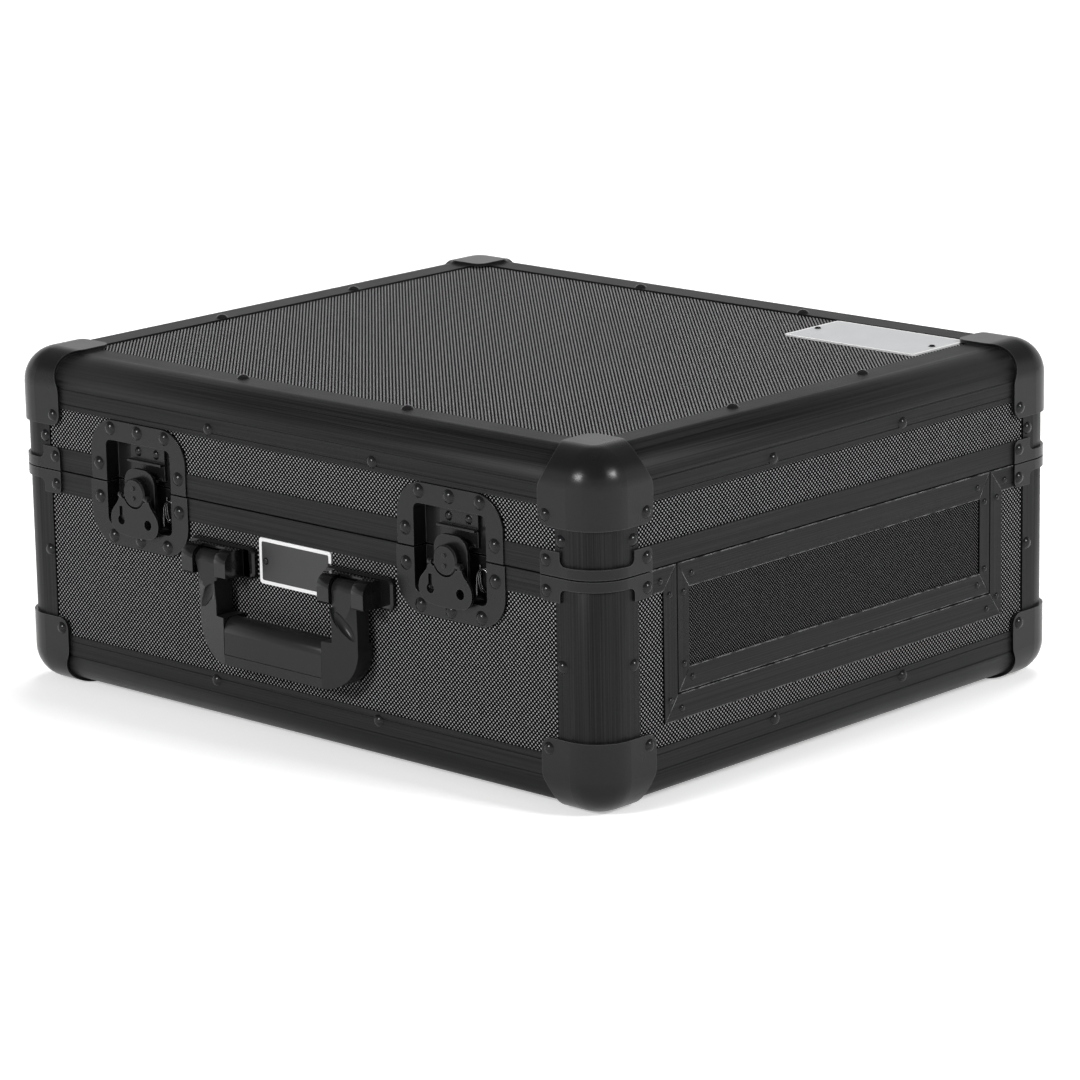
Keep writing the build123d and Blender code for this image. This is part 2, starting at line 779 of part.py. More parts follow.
def dish_half(x, s, width):
    """Half of a latch dish: a plate round a recess, with a pressed pan behind it."""
    z_edge = z_seam + s * seam_gap / 2
    plate_t = dish_proud + flange_t
    corner = dish_r
    half = width / 2
    pan_half = recess_w / 2 + pan_t
    with BuildPart() as dish:
        with BuildSketch(Plane.XZ.offset(-y_dish)):
            with BuildLine():
                Polyline((x + half, z_seam + s * (dish_h - corner)), (x + half, z_edge), (x - half, z_edge),
                         (x - half, z_seam + s * (dish_h - corner)))
                TangentArc((x - half, z_seam + s * (dish_h - corner)), (x - half + corner, z_seam + s * dish_h),
                           tangent=(0, s))
                Line((x - half + corner, z_seam + s * dish_h), (x + half - corner, z_seam + s * dish_h))
                TangentArc((x + half - corner, z_seam + s * dish_h), (x + half, z_seam + s * (dish_h - corner)),
                           tangent=(1, 0))
            make_face()
        extrude(amount=-plate_t)
        with BuildSketch(Plane.XZ.offset(-y_dish - plate_t)):
            with Locations((x, z_edge + s * (recess_h + pan_t) / 2)):
                Rectangle(2 * pan_half, recess_h + pan_t)
        extrude(amount=-(recess_depth + pan_t - plate_t))
        with BuildSketch(Plane.XZ.offset(-y_dish)):
            with Locations((x, z_seam)):
                RectangleRounded(recess_w, 2 * (recess_h + seam_gap / 2), recess_r)
        extrude(amount=-recess_depth, mode=Mode.SUBTRACT)
        if s < 0:
            with BuildSketch(Plane.XZ.offset(-y_recess)):
                with Locations((x, z_seam + boss_z)):
                    Circle(spindle_r + run_clear)
            extrude(amount=-pan_t, mode=Mode.SUBTRACT)
    return dish


def keeper(x):
    """Catch plate riveted in the upper recess, with a stiffening lip and a catch lip."""
    y_face = y_recess - keeper_t
    with BuildPart() as plate:
        with BuildSketch(Plane.XZ.offset(-y_recess)):
            with Locations((x, z_seam + (keeper_low + keeper_high) / 2)):
                Rectangle(keeper_w, keeper_high - keeper_low)
        extrude(amount=keeper_t)
        reach = y_face - (y_dish + hook_in_back + hook_lip + hook_clear)
        for z, width, depth in ((keeper_lip_at, keeper_w, 0.8 * reach), (keeper_low, keeper_w - 5.0, reach)):
            with BuildSketch(Plane.XZ.offset(-y_face)):
                with Locations((x, z_seam + z + keeper_lip_t / 2)):
                    Rectangle(width, keeper_lip_t)
            extrude(amount=depth)
        for dx in (-keeper_rivet_x, keeper_rivet_x):
            place = (x + dx, y_face, z_seam + keeper_high - keeper_rivet_drop)
            add(rivet(Plane(origin=place, z_dir=(0, -1, 0)), keeper_rivet_r, keeper_rivet_h))
    return plate


def hook(x):
    """Draw hook that slides up and down in front of the catch, with a slot round the spindle."""
    y_out = y_dish + hook_in
    with BuildPart() as plate:
        with BuildSketch(Plane.XZ.offset(-y_out)):
            with Locations((x, z_seam + (hook_top - hook_low) / 2)):
                Rectangle(hook_w, hook_top + hook_low)
            fillet(plate_corners(x), hook_r)
            with Locations((x, z_seam + boss_z - hook_travel / 2)):
                SlotCenterToCenter(hook_travel, 2 * (spindle_r + hook_clear), rotation=90, mode=Mode.SUBTRACT)
        extrude(amount=-hook_t)
        with BuildSketch(Plane.XZ.offset(-y_out - hook_t)):
            with Locations((x, z_seam + hook_top - hook_lip_h / 2)):
                Rectangle(hook_w - 2 * hook_r, hook_lip_h)
        extrude(amount=-hook_lip)
    return plate


def plate_corners(x):
    """Upper corners of the hook plate's outline in the current sketch."""
    return BuildSketch._get_context().vertices().group_by(Axis.Y)[-1]


def boss(x):
    """Turning boss on a spindle through the pan, with trunnions for the wing and two pin heads."""
    y_boss = y_dish - boss_proud
    z_c = z_seam + boss_z
    depth = boss_proud + hook_in - 0.3
    with BuildPart() as knob:
        with BuildSketch(Plane.XZ.offset(-y_boss)):
            with Locations((x, z_c)):
                Circle(boss_r)
        extrude(amount=-depth)
        chamfer(knob.faces().sort_by(Axis.Y)[0].edges(), 1.0)
        with BuildSketch(Plane.XZ.offset(-y_boss - depth)):
            with Locations((x, z_c)):
                Circle(spindle_r)
        extrude(amount=-(y_recess + pan_t - y_boss - depth - 0.1))
        with BuildSketch(Plane.XZ.offset(-y_boss)):
            with Locations((x, z_c - boss_pin_off), (x, z_c + boss_pin_off)):
                Circle(boss_pin_r)
        extrude(amount=boss_pin_h, taper=20)
        with BuildSketch(Plane.YZ.offset(x)):
            with Locations((y_dish - wing_gap - wing_t / 2, z_seam + wing_pivot_z)):
                Circle(wing_pin_r)
        extrude(amount=wing_pin_reach, both=True)
    return knob


def wing(x):
    """Folding bell-shaped wing with a key slot and a padlock hole, hinged on the boss's trunnions."""
    y_near = y_dish - wing_gap - wing_t
    z_pivot = z_seam + wing_pivot_z
    clear_x = boss_r + 0.8
    outer = wing_pin_reach
    lobe_x = wing_lobe_x + wing_lobe_r
    with BuildPart() as plate:
        with BuildSketch(Plane.XZ.offset(-y_near)):
            with BuildLine():
                Line((x - outer, z_pivot), (x + outer, z_pivot))
                Spline((x + outer, z_pivot), (x + lobe_x, z_seam + wing_lobe_z),
                       tangents=((0.1, -1), (0, -1)))
                RadiusArc((x + lobe_x, z_seam + wing_lobe_z),
                          (x + wing_lobe_x, z_seam + wing_lobe_z - wing_lobe_r), wing_lobe_r)
                ThreePointArc((x + wing_lobe_x, z_seam + wing_lobe_z - wing_lobe_r), (x, z_seam + wing_foot_z),
                              (x - wing_lobe_x, z_seam + wing_lobe_z - wing_lobe_r))
                RadiusArc((x - wing_lobe_x, z_seam + wing_lobe_z - wing_lobe_r),
                          (x - lobe_x, z_seam + wing_lobe_z), wing_lobe_r)
                Spline((x - lobe_x, z_seam + wing_lobe_z), (x - outer, z_pivot),
                       tangents=((0, 1), (0.1, 1)))
            make_face()
            with Locations((x, z_seam + boss_z)):
                Circle(boss_r + wing_gap_boss, mode=Mode.SUBTRACT)
            with Locations((x, z_pivot)):
                Rectangle(2 * clear_x, 2 * (boss_z - wing_pivot_z), mode=Mode.SUBTRACT)
            with Locations((x + wing_slot_x, z_seam + (wing_slot_top + wing_slot_low) / 2)):
                Rectangle(wing_slot_w, wing_slot_top - wing_slot_low, mode=Mode.SUBTRACT)
            with Locations((x + wing_slot_x, z_seam + wing_slot_low)):
                Circle(wing_slot_r, mode=Mode.SUBTRACT)
            with Locations((x + wing_hole_x, z_seam + wing_slot_low)):
                Circle(wing_hole_r, mode=Mode.SUBTRACT)
        extrude(amount=-wing_t)
        for s in (-1, 1):
            with BuildSketch(Plane.YZ.offset(x + s * clear_x)):
                with Locations((y_near + wing_t / 2, z_pivot)):
                    Circle(wing_knuckle_r)
            extrude(amount=s * (outer - clear_x))
        with BuildSketch(Plane.YZ.offset(x)):
            with Locations((y_near + wing_t / 2, z_pivot)):
                Circle(wing_pin_r + run_clear)
        extrude(amount=2 * outer, both=True, mode=Mode.SUBTRACT)
    return plate


def spring_route(x):
    """Corners of the spring's wire: a leg in, the turns, a leg out."""
    y_back_turn = y_recess - spring_seat - spring_wire / 2
    points = []
    count = spring_turns * spring_steps
    for i in range(count + 1):
        plane = Plane(origin=(x + spring_x, y_back_turn, z_seam + spring_z), z_dir=(0, -1, 0), x_dir=(1, 0, 0))
        flat = Vector(-spring_r, 0, 0).rotate(Axis.Z, 360 * i / spring_steps)
        tall = flat.Y * spring_rise / spring_r
        points.append(plane.from_local_coords(Vector(flat.X, tall, spring_pitch * i / spring_steps)))
    return [points[0] + Vector(0, 0, 0.9 * spring_leg)] + points + [points[-1] - Vector(0, 0, spring_leg)]


def spring(x):
    """Torsion spring of the latch, one unbroken wire of straight runs and tangent arcs."""
    points = spring_route(x)
    step = 360 / spring_steps
    run_l = 2 * spring_r * sin(radians(step / 2))
    bend = 0.4 * run_l * spring_r / spring_rise / tan(radians(step / 2))
    with BuildPart() as wire:
        with BuildLine() as path:
            FilletPolyline(*points, radius=bend)
        start = path.wires()[0]
        with BuildSketch(Plane(origin=start @ 0, z_dir=start % 0)):
            Circle(spring_wire / 2)
        sweep()
    return wire


def latches():
    """Both latches: dish halves, catch, hook, boss, wing and spring."""
    for side, x in (("left", -latch_x), ("right", latch_x)):
        save(dish_half(x, -1, dish_w_lower), f"latch_{side}_dish_lower")
        save(dish_half(x, 1, dish_w_upper), f"latch_{side}_dish_upper")
        save(keeper(x), f"latch_{side}_keeper")
        save(hook(x), f"latch_{side}_hook")
        save(boss(x), f"latch_{side}_boss")
        save(wing(x), f"latch_{side}_wing")
        save(spring(x), f"latch_{side}_spring")


def bracket(x):
    """Handle bracket: bevelled base plate, two blunt ears round the pin and a roof behind the knuckle."""
    y_wall = y_front + flange_t
    y_plate = y_wall - bracket_base_t
    y_nose = y_handle_pin - bracket_ear_r
    z_roof = z_handle_pin + bracket_ear_r
    z_under = z_handle_pin - bracket_ear_r
    inner = handle_arm_w / 2 + handle_side_clear
    with BuildPart() as body:
        with BuildSketch(Plane.XZ.offset(-y_wall)):
            with Locations((x, z_handle_pin)):
                RectangleRounded(bracket_w, bracket_h, 4.0)
        extrude(amount=bracket_base_t)
        chamfer(body.faces().sort_by(Axis.Y)[0].edges(), bracket_bevel)
        for s in (-1, 1):
            with BuildSketch(Plane.YZ.offset(x + s * inner)):
                with BuildLine():
                    RadiusArc((y_nose, z_roof - bracket_round), (y_nose + bracket_round, z_roof), bracket_round)
                    Polyline((y_nose + bracket_round, z_roof), (y_plate + 1.0, z_roof), (y_plate + 1.0, z_under),
                             (y_nose + bracket_bevel, z_under), (y_nose, z_under + bracket_bevel),
                             (y_nose, z_roof - bracket_round))
                make_face()
            extrude(amount=s * bracket_ear_w)
        roof_y = y_handle_pin + bracket_roof_in
        with BuildSketch(Plane.YZ.offset(x)):
            with Locations(((roof_y + y_plate + 1.0) / 2, z_roof - bracket_roof_t / 2)):
                Rectangle(y_plate + 1.0 - roof_y, bracket_roof_t)
        extrude(amount=inner + 1.0, both=True)
        with BuildSketch(Plane.YZ.offset(x)):
            with Locations((y_handle_pin, z_handle_pin)):
                Circle(handle_pin_r + run_clear)
        extrude(amount=bracket_w, both=True, mode=Mode.SUBTRACT)
    return body


def handle_crown():
    """Space the handle stays in: its front falls back towards the outer edges, more below the knuckles."""
    outer = handle_arm_x + handle_arm_w / 2
    y_grip = y_handle_pin - grip_t / 2
    y_rear = y_handle_pin + grip_t / 2
    z_full = z_seam - handle_lift_mid_z
    z_foot = z_seam - handle_drop
    with BuildPart() as crown:
        for z, drop in ((z_handle_pin, 0.0), (z_full, handle_crown_drop)):
            with BuildSketch(Plane.XY.offset(z)):
                with BuildLine():
                    Polyline((-outer, y_grip + drop), (-grip_half, y_grip), (grip_half, y_grip),
                             (outer, y_grip + drop), (outer, y_rear), (-outer, y_rear), close=True)
                make_face()
        loft(ruled=True)
        with BuildSketch(Plane.XY.offset(z_foot)):
            with BuildLine():
                Polyline((-outer, y_grip + handle_crown_drop), (-grip_half, y_grip), (grip_half, y_grip),
                         (outer, y_grip + handle_crown_drop), (outer, y_rear), (-outer, y_rear), close=True)
            make_face()
        extrude(amount=z_full - z_foot)
    return crown.part


def scoop(s):
    """Spindle-shaped hollow across the front of an arm, from high inside to low outside."""
    outer = handle_arm_x + handle_arm_w / 2
    inner = handle_arm_x - handle_arm_w / 2
    y_grip = y_handle_pin - grip_t / 2
    slope = handle_crown_drop / (outer - grip_half)
    start = Vector(s * inner, y_grip + slope * (inner - grip_half) - scoop_out, z_seam - handle_lift_in)
    end = Vector(s * outer, y_grip + handle_crown_drop - scoop_out, z_seam - handle_lift_out)
    length = (end - start).length
    with BuildPart() as spindle:
        with BuildSketch(Plane(origin=start, x_dir=end - start, z_dir=(end - start).cross(Vector(0, 1, 0)))):
            with BuildLine():
                ThreePointArc((0, 0), (length / 2, scoop_w), (length, 0))
                Line((length, 0), (0, 0))
            make_face()
        revolve(axis=Axis(start, end - start))
    return spindle.part


def handle_loop():
    """Handle frame: two arms with bored knuckles and a lower bar with a pocket for the grip."""
    outer = handle_arm_x + handle_arm_w / 2
    inner = handle_arm_x - handle_arm_w / 2
    y_near = y_handle_pin - handle_arm_t / 2
    y_grip = y_handle_pin - grip_t / 2
    z_foot = z_seam - handle_drop
    z_grip = z_seam + grip_top
    z_in = z_seam - handle_lift_in
    z_out = z_seam - handle_lift_out
    mid = (handle_lift_mid_x, z_seam - handle_lift_mid_z)
    with BuildPart() as loop:
        with BuildSketch(Plane.XZ.offset(-y_near)):
            with BuildLine():
                FilletPolyline((-outer, z_handle_pin), (-outer, z_foot), (outer, z_foot), (outer, z_handle_pin),
                               radius=handle_corner_r)
                Polyline((outer, z_handle_pin), (inner, z_handle_pin), (inner, z_grip),
                         (-inner, z_grip), (-inner, z_handle_pin), (-outer, z_handle_pin))
            make_face()
        extrude(amount=-handle_arm_t)
        with BuildSketch(Plane.XZ.offset(-y_grip)):
            with BuildLine():
                FilletPolyline((-outer, z_grip), (-outer, z_foot), (outer, z_foot), (outer, z_grip),
                               radius=handle_corner_r)
                Line((outer, z_grip), (-outer, z_grip))
            make_face()
        extrude(amount=-grip_t)
        with BuildSketch(Plane.XZ.offset(-y_grip)):
            with BuildLine():
                FilletPolyline((-outer, z_out), (-outer, z_foot), (outer, z_foot), (outer, z_out),
                               radius=handle_corner_r)
                ThreePointArc((outer, z_out), mid, (inner, z_in))
                Polyline((inner, z_in), (inner, z_grip), (-inner, z_grip), (-inner, z_in))
                ThreePointArc((-inner, z_in), (-mid[0], mid[1]), (-outer, z_out))
            make_face()
        extrude(amount=y_grip - y_near)
        add(handle_crown(), mode=Mode.INTERSECT)
        for s in (-1, 1):
            add(scoop(s), mode=Mode.SUBTRACT)
            with BuildSketch(Plane.YZ.offset(s * inner)):
                with Locations((y_handle_pin, z_handle_pin)):
                    Circle(handle_arm_t / 2)
            extrude(amount=s * handle_arm_w)
        with BuildSketch(Plane.XZ.offset(-y_grip)):
            with Locations((0, z_seam + (grip_top + grip_low) / 2)):
                Rectangle(2 * grip_half, grip_top - grip_low)
        extrude(amount=-grip_t, mode=Mode.SUBTRACT)
        with BuildSketch(Plane.YZ):
            with Locations((y_handle_pin, z_handle_pin)):
                Circle(handle_pin_r + run_clear)
        extrude(amount=case_w, both=True, mode=Mode.SUBTRACT)
    return loop


def handle_grip():
    """Grip block seated in the handle frame, with a round top for the hand."""
    y_grip = y_handle_pin - grip_t / 2
    with BuildPart() as grip:
        with BuildSketch(Plane.YZ.offset(-grip_half)):
            with BuildLine():
                Polyline((y_grip, z_seam + grip_top - grip_t / 2), (y_grip, z_seam + grip_low),
                         (y_grip + grip_t, z_seam + grip_low),
                         (y_grip + grip_t, z_seam + grip_top - grip_t / 2))
                RadiusArc((y_grip + grip_t, z_seam + grip_top - grip_t / 2),
                          (y_grip, z_seam + grip_top - grip_t / 2), -grip_t / 2)
            make_face()
        extrude(amount=2 * grip_half)
    return grip


def handle():
    """Handle: two brackets, their pins, the frame and the grip."""
    for side, x in (("left", -handle_arm_x), ("right", handle_arm_x)):
        save(bracket(x), f"handle_bracket_{side}")
    half = handle_arm_w / 2 + handle_side_clear + bracket_ear_w
    with BuildPart() as pins:
        for x in (-handle_arm_x, handle_arm_x):
            with BuildSketch(Plane.YZ.offset(x)):
                with Locations((y_handle_pin, z_handle_pin)):
                    Circle(handle_pin_r)
            extrude(amount=half, both=True)
    save(pins, "handle_pins")
    save(handle_loop(), "handle_frame")
    save(handle_grip(), "handle_grip")


def plates():
    """Bare label plate on the front and bare name plate on the lid."""
    with BuildPart() as label:
        with BuildSketch(Plane.XZ.offset(-(y_front + flange_t))):
            with Locations((label_x, z_seam - label_drop - label_h / 2)):
                RectangleRounded(label_w, label_h, label_r)
            with Locations((-handle_arm_x, z_handle_pin), (handle_arm_x, z_handle_pin)):
                Rectangle(bracket_w + 2 * label_clear, bracket_h + 2 * label_clear, mode=Mode.SUBTRACT)
        extrude(amount=label_t)
    save(label, "front_label_plate")
    with BuildPart() as name:
        with BuildSketch(Plane.XY.offset(z_top - flange_t)):
            with Locations((name_x, y_mid + name_y)):
                RectangleRounded(name_w, name_d, name_r)
        extrude(amount=name_t)
    save(name, "lid_name_plate")


def hinge_leaf(x, s):
    """Hinge leaf: plate on the back, packing over the board, and its knuckles (s is -1 on the tray)."""
    third = hinge_w / 3
    mid = (hinge_leaf_start + hinge_leaf_h) / 2
    low = rim_h + seam_gap
    spans = [(-hinge_w / 2, -third / 2 - hinge_gap), (third / 2 + hinge_gap, hinge_w / 2)]
    if s > 0:
        spans = [(-third / 2, third / 2)]
    with BuildPart() as leaf:
        with BuildSketch(Plane.XZ.offset(-(y_back + hinge_leaf_t))):
            with Locations((x, z_seam + s * mid)):
                RectangleRounded(hinge_w, hinge_leaf_h - hinge_leaf_start, hinge_leaf_r)
            with Locations((x, z_seam + s * (hinge_leaf_start + hinge_leaf_r / 2))):
                Rectangle(hinge_w, hinge_leaf_r)
        extrude(amount=hinge_leaf_t)
        with BuildSketch(Plane.XZ.offset(-y_back)):
            with Locations((x, z_seam + s * (low + hinge_leaf_h - hinge_leaf_r) / 2)):
                Rectangle(hinge_w - 2 * hinge_leaf_r, hinge_leaf_h - hinge_leaf_r - low)
        extrude(amount=flange_t)
        for a, b in spans:
            with BuildSketch(Plane.YZ.offset(x + a)):
                with Locations((y_hinge, z_seam)):
                    Circle(knuckle_r)
                with Locations((y_back + hinge_leaf_t / 2, z_seam + s * (hinge_leaf_start + 0.4) / 2)):
                    Rectangle(hinge_leaf_t, hinge_leaf_start + 0.4 - seam_gap)
            extrude(amount=b - a)
        with BuildSketch(Plane.YZ.offset(x)):
            with Locations((y_hinge, z_seam)):
                Circle(hinge_pin_r + run_clear)
        extrude(amount=hinge_w, both=True, mode=Mode.SUBTRACT)
    return leaf


def hinges():
    """Two back hinges: leaves on the tray and on the lid, and their pins."""
    for name, s in (("hinge_tray_leaves", -1), ("hinge_lid_leaves", 1)):
        leaves = [hinge_leaf(x, s).part for x in (-hinge_x, hinge_x)]
        with BuildPart() as pair:
            add(leaves)
        save(pair, name)
    with BuildPart() as pins:
        for x in (-hinge_x, hinge_x):
            with BuildSketch(Plane.YZ.offset(x)):
                with Locations((y_hinge, z_seam)):
                    Circle(hinge_pin_r)
            extrude(amount=hinge_w / 2, both=True)
    save(pins, "hinge_pins")


def foam():
    """Plain blocks of the foam: floor pad and wall pads in the tray, and the pad in the lid."""
    z_floor = z_base + wall_span
    in_x = x_side - wall_span
    in_y = case_d / 2 - wall_span
    z_wall = z_seam - foam_below_seam
    with BuildPart() as floor:
        with BuildSketch(Plane.XY.offset(z_floor)):
            with Locations((0, y_mid)):
                Rectangle(2 * in_x, 2 * in_y)
        extrude(amount=floor_foam_t)
    save(floor, "tray_floor_foam")
    z_low = z_floor + floor_foam_t
    with BuildPart() as walls:
        for s in (-1, 1):
            with BuildSketch(Plane.XY.offset(z_low)):
                with Locations((0, y_mid + s * (in_y - wall_foam_t / 2))):
                    Rectangle(2 * in_x, wall_foam_t)
            extrude(amount=z_wall - z_low)
        for s, z_high in ((-1, z_wall), (1, z_sill - rim_web - foam_below_seam)):
            with BuildSketch(Plane.XY.offset(z_low)):
                with Locations((s * (in_x - wall_foam_t / 2), y_mid)):
                    Rectangle(wall_foam_t, 2 * (in_y - wall_foam_t) - 2 * foam_clear)
            extrude(amount=z_high - z_low)
    save(walls, "tray_wall_foam")
    with BuildPart() as lid:
        with BuildSketch(Plane.XY.offset(z_top - wall_span)):
            with Locations((0, y_mid)):
                Rectangle(2 * in_x, 2 * in_y)
        extrude(amount=-lid_foam_t)
    save(lid, "lid_foam")


boards()
edge_bars()
corner_posts()
rim_bars()
access_frame()
access_panel()
ball_corners()
corner_braces()
rivets()
latches()
handle()
plates()
hinges()
foam()
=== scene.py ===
"""Dressed model of a DJ controller flight case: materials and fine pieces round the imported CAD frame.

Every new piece is a surface worked out with numpy, placed in the row frame in metres.
"""

import math

import bpy
import numpy as np
from mathutils import Matrix, Vector


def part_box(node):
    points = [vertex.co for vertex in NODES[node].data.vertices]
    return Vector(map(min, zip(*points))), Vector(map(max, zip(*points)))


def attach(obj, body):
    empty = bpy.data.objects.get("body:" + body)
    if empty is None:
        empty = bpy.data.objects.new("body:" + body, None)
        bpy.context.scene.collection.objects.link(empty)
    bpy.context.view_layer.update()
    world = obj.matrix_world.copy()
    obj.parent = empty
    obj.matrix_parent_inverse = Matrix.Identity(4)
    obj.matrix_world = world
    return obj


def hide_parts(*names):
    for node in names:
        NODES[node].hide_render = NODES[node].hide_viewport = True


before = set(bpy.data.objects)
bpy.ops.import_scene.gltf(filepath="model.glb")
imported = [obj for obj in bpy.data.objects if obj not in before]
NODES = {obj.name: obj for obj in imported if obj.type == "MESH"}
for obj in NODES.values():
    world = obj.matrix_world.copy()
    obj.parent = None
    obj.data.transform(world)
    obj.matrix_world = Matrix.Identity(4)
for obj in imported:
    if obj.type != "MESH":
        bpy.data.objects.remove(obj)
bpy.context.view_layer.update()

bl_info = {
    "name": "Flight case",
    "version": (1, 0, 0),
    "blender": (4, 5, 0),
    "location": "3D View > Sidebar > Flight case",
    "description": "Dresses the flight case: boards, extrusions, corners, latches, handle, plates and foam",
    "category": "Object",
}

X, Y, Z = range(3)


# Where things are, read from the frame


def span(node):
    """Lowest and highest corner of a CAD node, as two arrays."""
    low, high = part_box(node)
    return np.array(low), np.array(high)


def middle(low, high, axis):
    return float(low[axis] + high[axis]) / 2


BASE_LOW, BASE_HIGH = span("tray_base_edges")
TOP_HIGH = span("lid_top_edges")[1]
CENTRE_Y = middle(BASE_LOW, BASE_HIGH, Y)
SEAM_Z = middle(span("lid_corner_posts")[0], span("tray_corner_posts")[1], Z)


# Shader nodes

WHITE = (1.0, 1.0, 1.0, 1.0)

# Colour sockets of a Mix node, by number, because its other kinds of socket share their names
MIX_LOW, MIX_HIGH, MIX_RESULT = 6, 7, 2


class Value:
    """A link in a node tree. On numbers, its arithmetic adds Math nodes."""

    def __init__(self, tree, socket):
        self.tree = tree
        self.socket = socket

    def beside(self, key):
        """Another output of the same node."""
        return Value(self.tree, self.socket.node.outputs[key])

    def math(self, operation, *others):
        """A Math node on this value and then the others."""
        inputs = dict(enumerate((self, *others)))
        return self.tree.add("ShaderNodeMath", {"operation": operation}, inputs)

    def __add__(self, other):
        return self.math("ADD", other)

    __radd__ = __add__

    def __sub__(self, other):
        return self.math("SUBTRACT", other)

    def __rsub__(self, other):
        return self.tree.add("ShaderNodeMath", {"operation": "SUBTRACT"}, {0: other, 1: self})

    def __mul__(self, other):
        return self.math("MULTIPLY", other)

    __rmul__ = __mul__

    def abs(self):
        return self.math("ABSOLUTE")

    def max(self, other):
        return self.math("MAXIMUM", other)

    def min(self, other):
        return self.math("MINIMUM", other)

    def power(self, other):
        return self.math("POWER", other)

    def above(self, edge):
        return self.math("GREATER_THAN", edge)

    def cosine(self):
        return self.math("COSINE")

    def ease(self, low, high):
        """Smooth step from 0 at low to 1 at high."""
        settings = {"interpolation_type": "SMOOTHSTEP"}
        inputs = {"Value": self, "From Min": low, "From Max": high}
        return self.tree.add("ShaderNodeMapRange", settings, inputs, "Result")


class Tree:
    """A node tree whose every node comes from add."""

    def __init__(self, node_tree):
        self.nodes = node_tree.nodes
        self.links = node_tree.links

    def put(self, socket, value):
        """Give a socket a link or a constant."""
        if isinstance(value, Value):
            self.links.new(value.socket, socket)
        else:
            socket.default_value = value

    def add(self, kind, settings=None, inputs=None, output=0):
        """A node of that type, its settings made first, then the values or links of its sockets."""
        node = self.nodes.new(kind)
        for key, value in (settings or {}).items():
            setattr(node, key, value)
        for key, value in (inputs or {}).items():
            self.put(node.inputs[key], value)
        return Value(self, node.outputs[output]) if node.outputs else None

    def axes(self, vector):
        """X, Y and Z of a vector."""
        first = self.add("ShaderNodeSeparateXYZ", None, {"Vector": vector}, "X")
        return first, first.beside("Y"), first.beside("Z")

    def blend(self, factor, low, high):
        """Two shaders: low where the factor is 0, high where it is 1."""
        return self.add("ShaderNodeMixShader", None, {0: factor, 1: low, 2: high})

    def seen_directly(self):
        """1 on camera, glossy and transmission rays, 0 on the others."""
        camera = self.add("ShaderNodeLightPath", output="Is Camera Ray")
        return camera.max(camera.beside("Is Glossy Ray")).max(camera.beside("Is Transmission Ray"))


class Finish(Tree):
    """One node material: a Principled shader and the nodes that vary over its surface."""

    def __init__(self, name, **constants):
        self.material = bpy.data.materials.new(name)
        self.material.use_nodes = True
        super().__init__(self.material.node_tree)
        self.shader = self.nodes["Principled BSDF"]
        self.shade(**constants)
        self.position = self.add("ShaderNodeTexCoord", output="Object")

    def shade(self, **sockets):
        """Values or links of the Principled shader's sockets."""
        for key, value in sockets.items():
            self.put(self.shader.inputs[key.replace("_", " ")], value)

    def vector(self, x, y, z):
        return self.add("ShaderNodeCombineXYZ", None, {"X": x, "Y": y, "Z": z})

    def noise(self, vector, scale, detail=2.0, rough=0.5):
        """Noise from 0 to 1, with scale features to the metre."""
        inputs = {"Vector": vector, "Scale": scale, "Detail": detail, "Roughness": rough}
        return self.add("ShaderNodeTexNoise", None, inputs)

    def mix(self, factor, low, high):
        """Blend two colours, given as triples or as colour links."""
        low, high = [c if isinstance(c, Value) else (*c, 1.0) for c in (low, high)]
        inputs = {0: factor, MIX_LOW: low, MIX_HIGH: high}
        return self.add("ShaderNodeMix", {"data_type": "RGBA"}, inputs, MIX_RESULT)

    def bump(self, height, distance, strength):
        inputs = {"Height": height, "Distance": distance, "Strength": strength}
        self.shade(Normal=self.add("ShaderNodeBump", None, inputs))

    def edge_wear_and_highlight(self, reach):
        """1 along sharp edges, the mask of the painted edge highlight and rubbed wear: how far a normal
        rounded over that reach leans from the surface's own.
        """
        rounded = self.add("ShaderNodeBevel", {"samples": 4}, {"Radius": reach})
        own = self.add("ShaderNodeNewGeometry", output="Normal")
        settings = {"operation": "DOT_PRODUCT"}
        cosine = self.add("ShaderNodeVectorMath", settings, {0: rounded, 1: own}, "Value")
        return (1.0 - cosine).ease(0.012, 0.1)


def toned(colour, gain, lift=0.0):
    """A colour times gain, plus lift."""
    return [channel * gain + lift for channel in colour]


# Materials. Noise scales are features to the metre, and bump distances are metres.

DOT_SOFTNESS = 0.22  # Half the height of the lattice over which a dot fades out
BAR_WIDTH = 0.034  # How far an edge bar reaches in from the side of the case
BAR_BLUR = 0.0005
DRAWN_OUT = 0.003  # What is left of a coordinate along the draw lines
LINE_CONTRAST = 4.2
LINE_LEVEL = 0.45
BORDER_BLUR = 0.00012


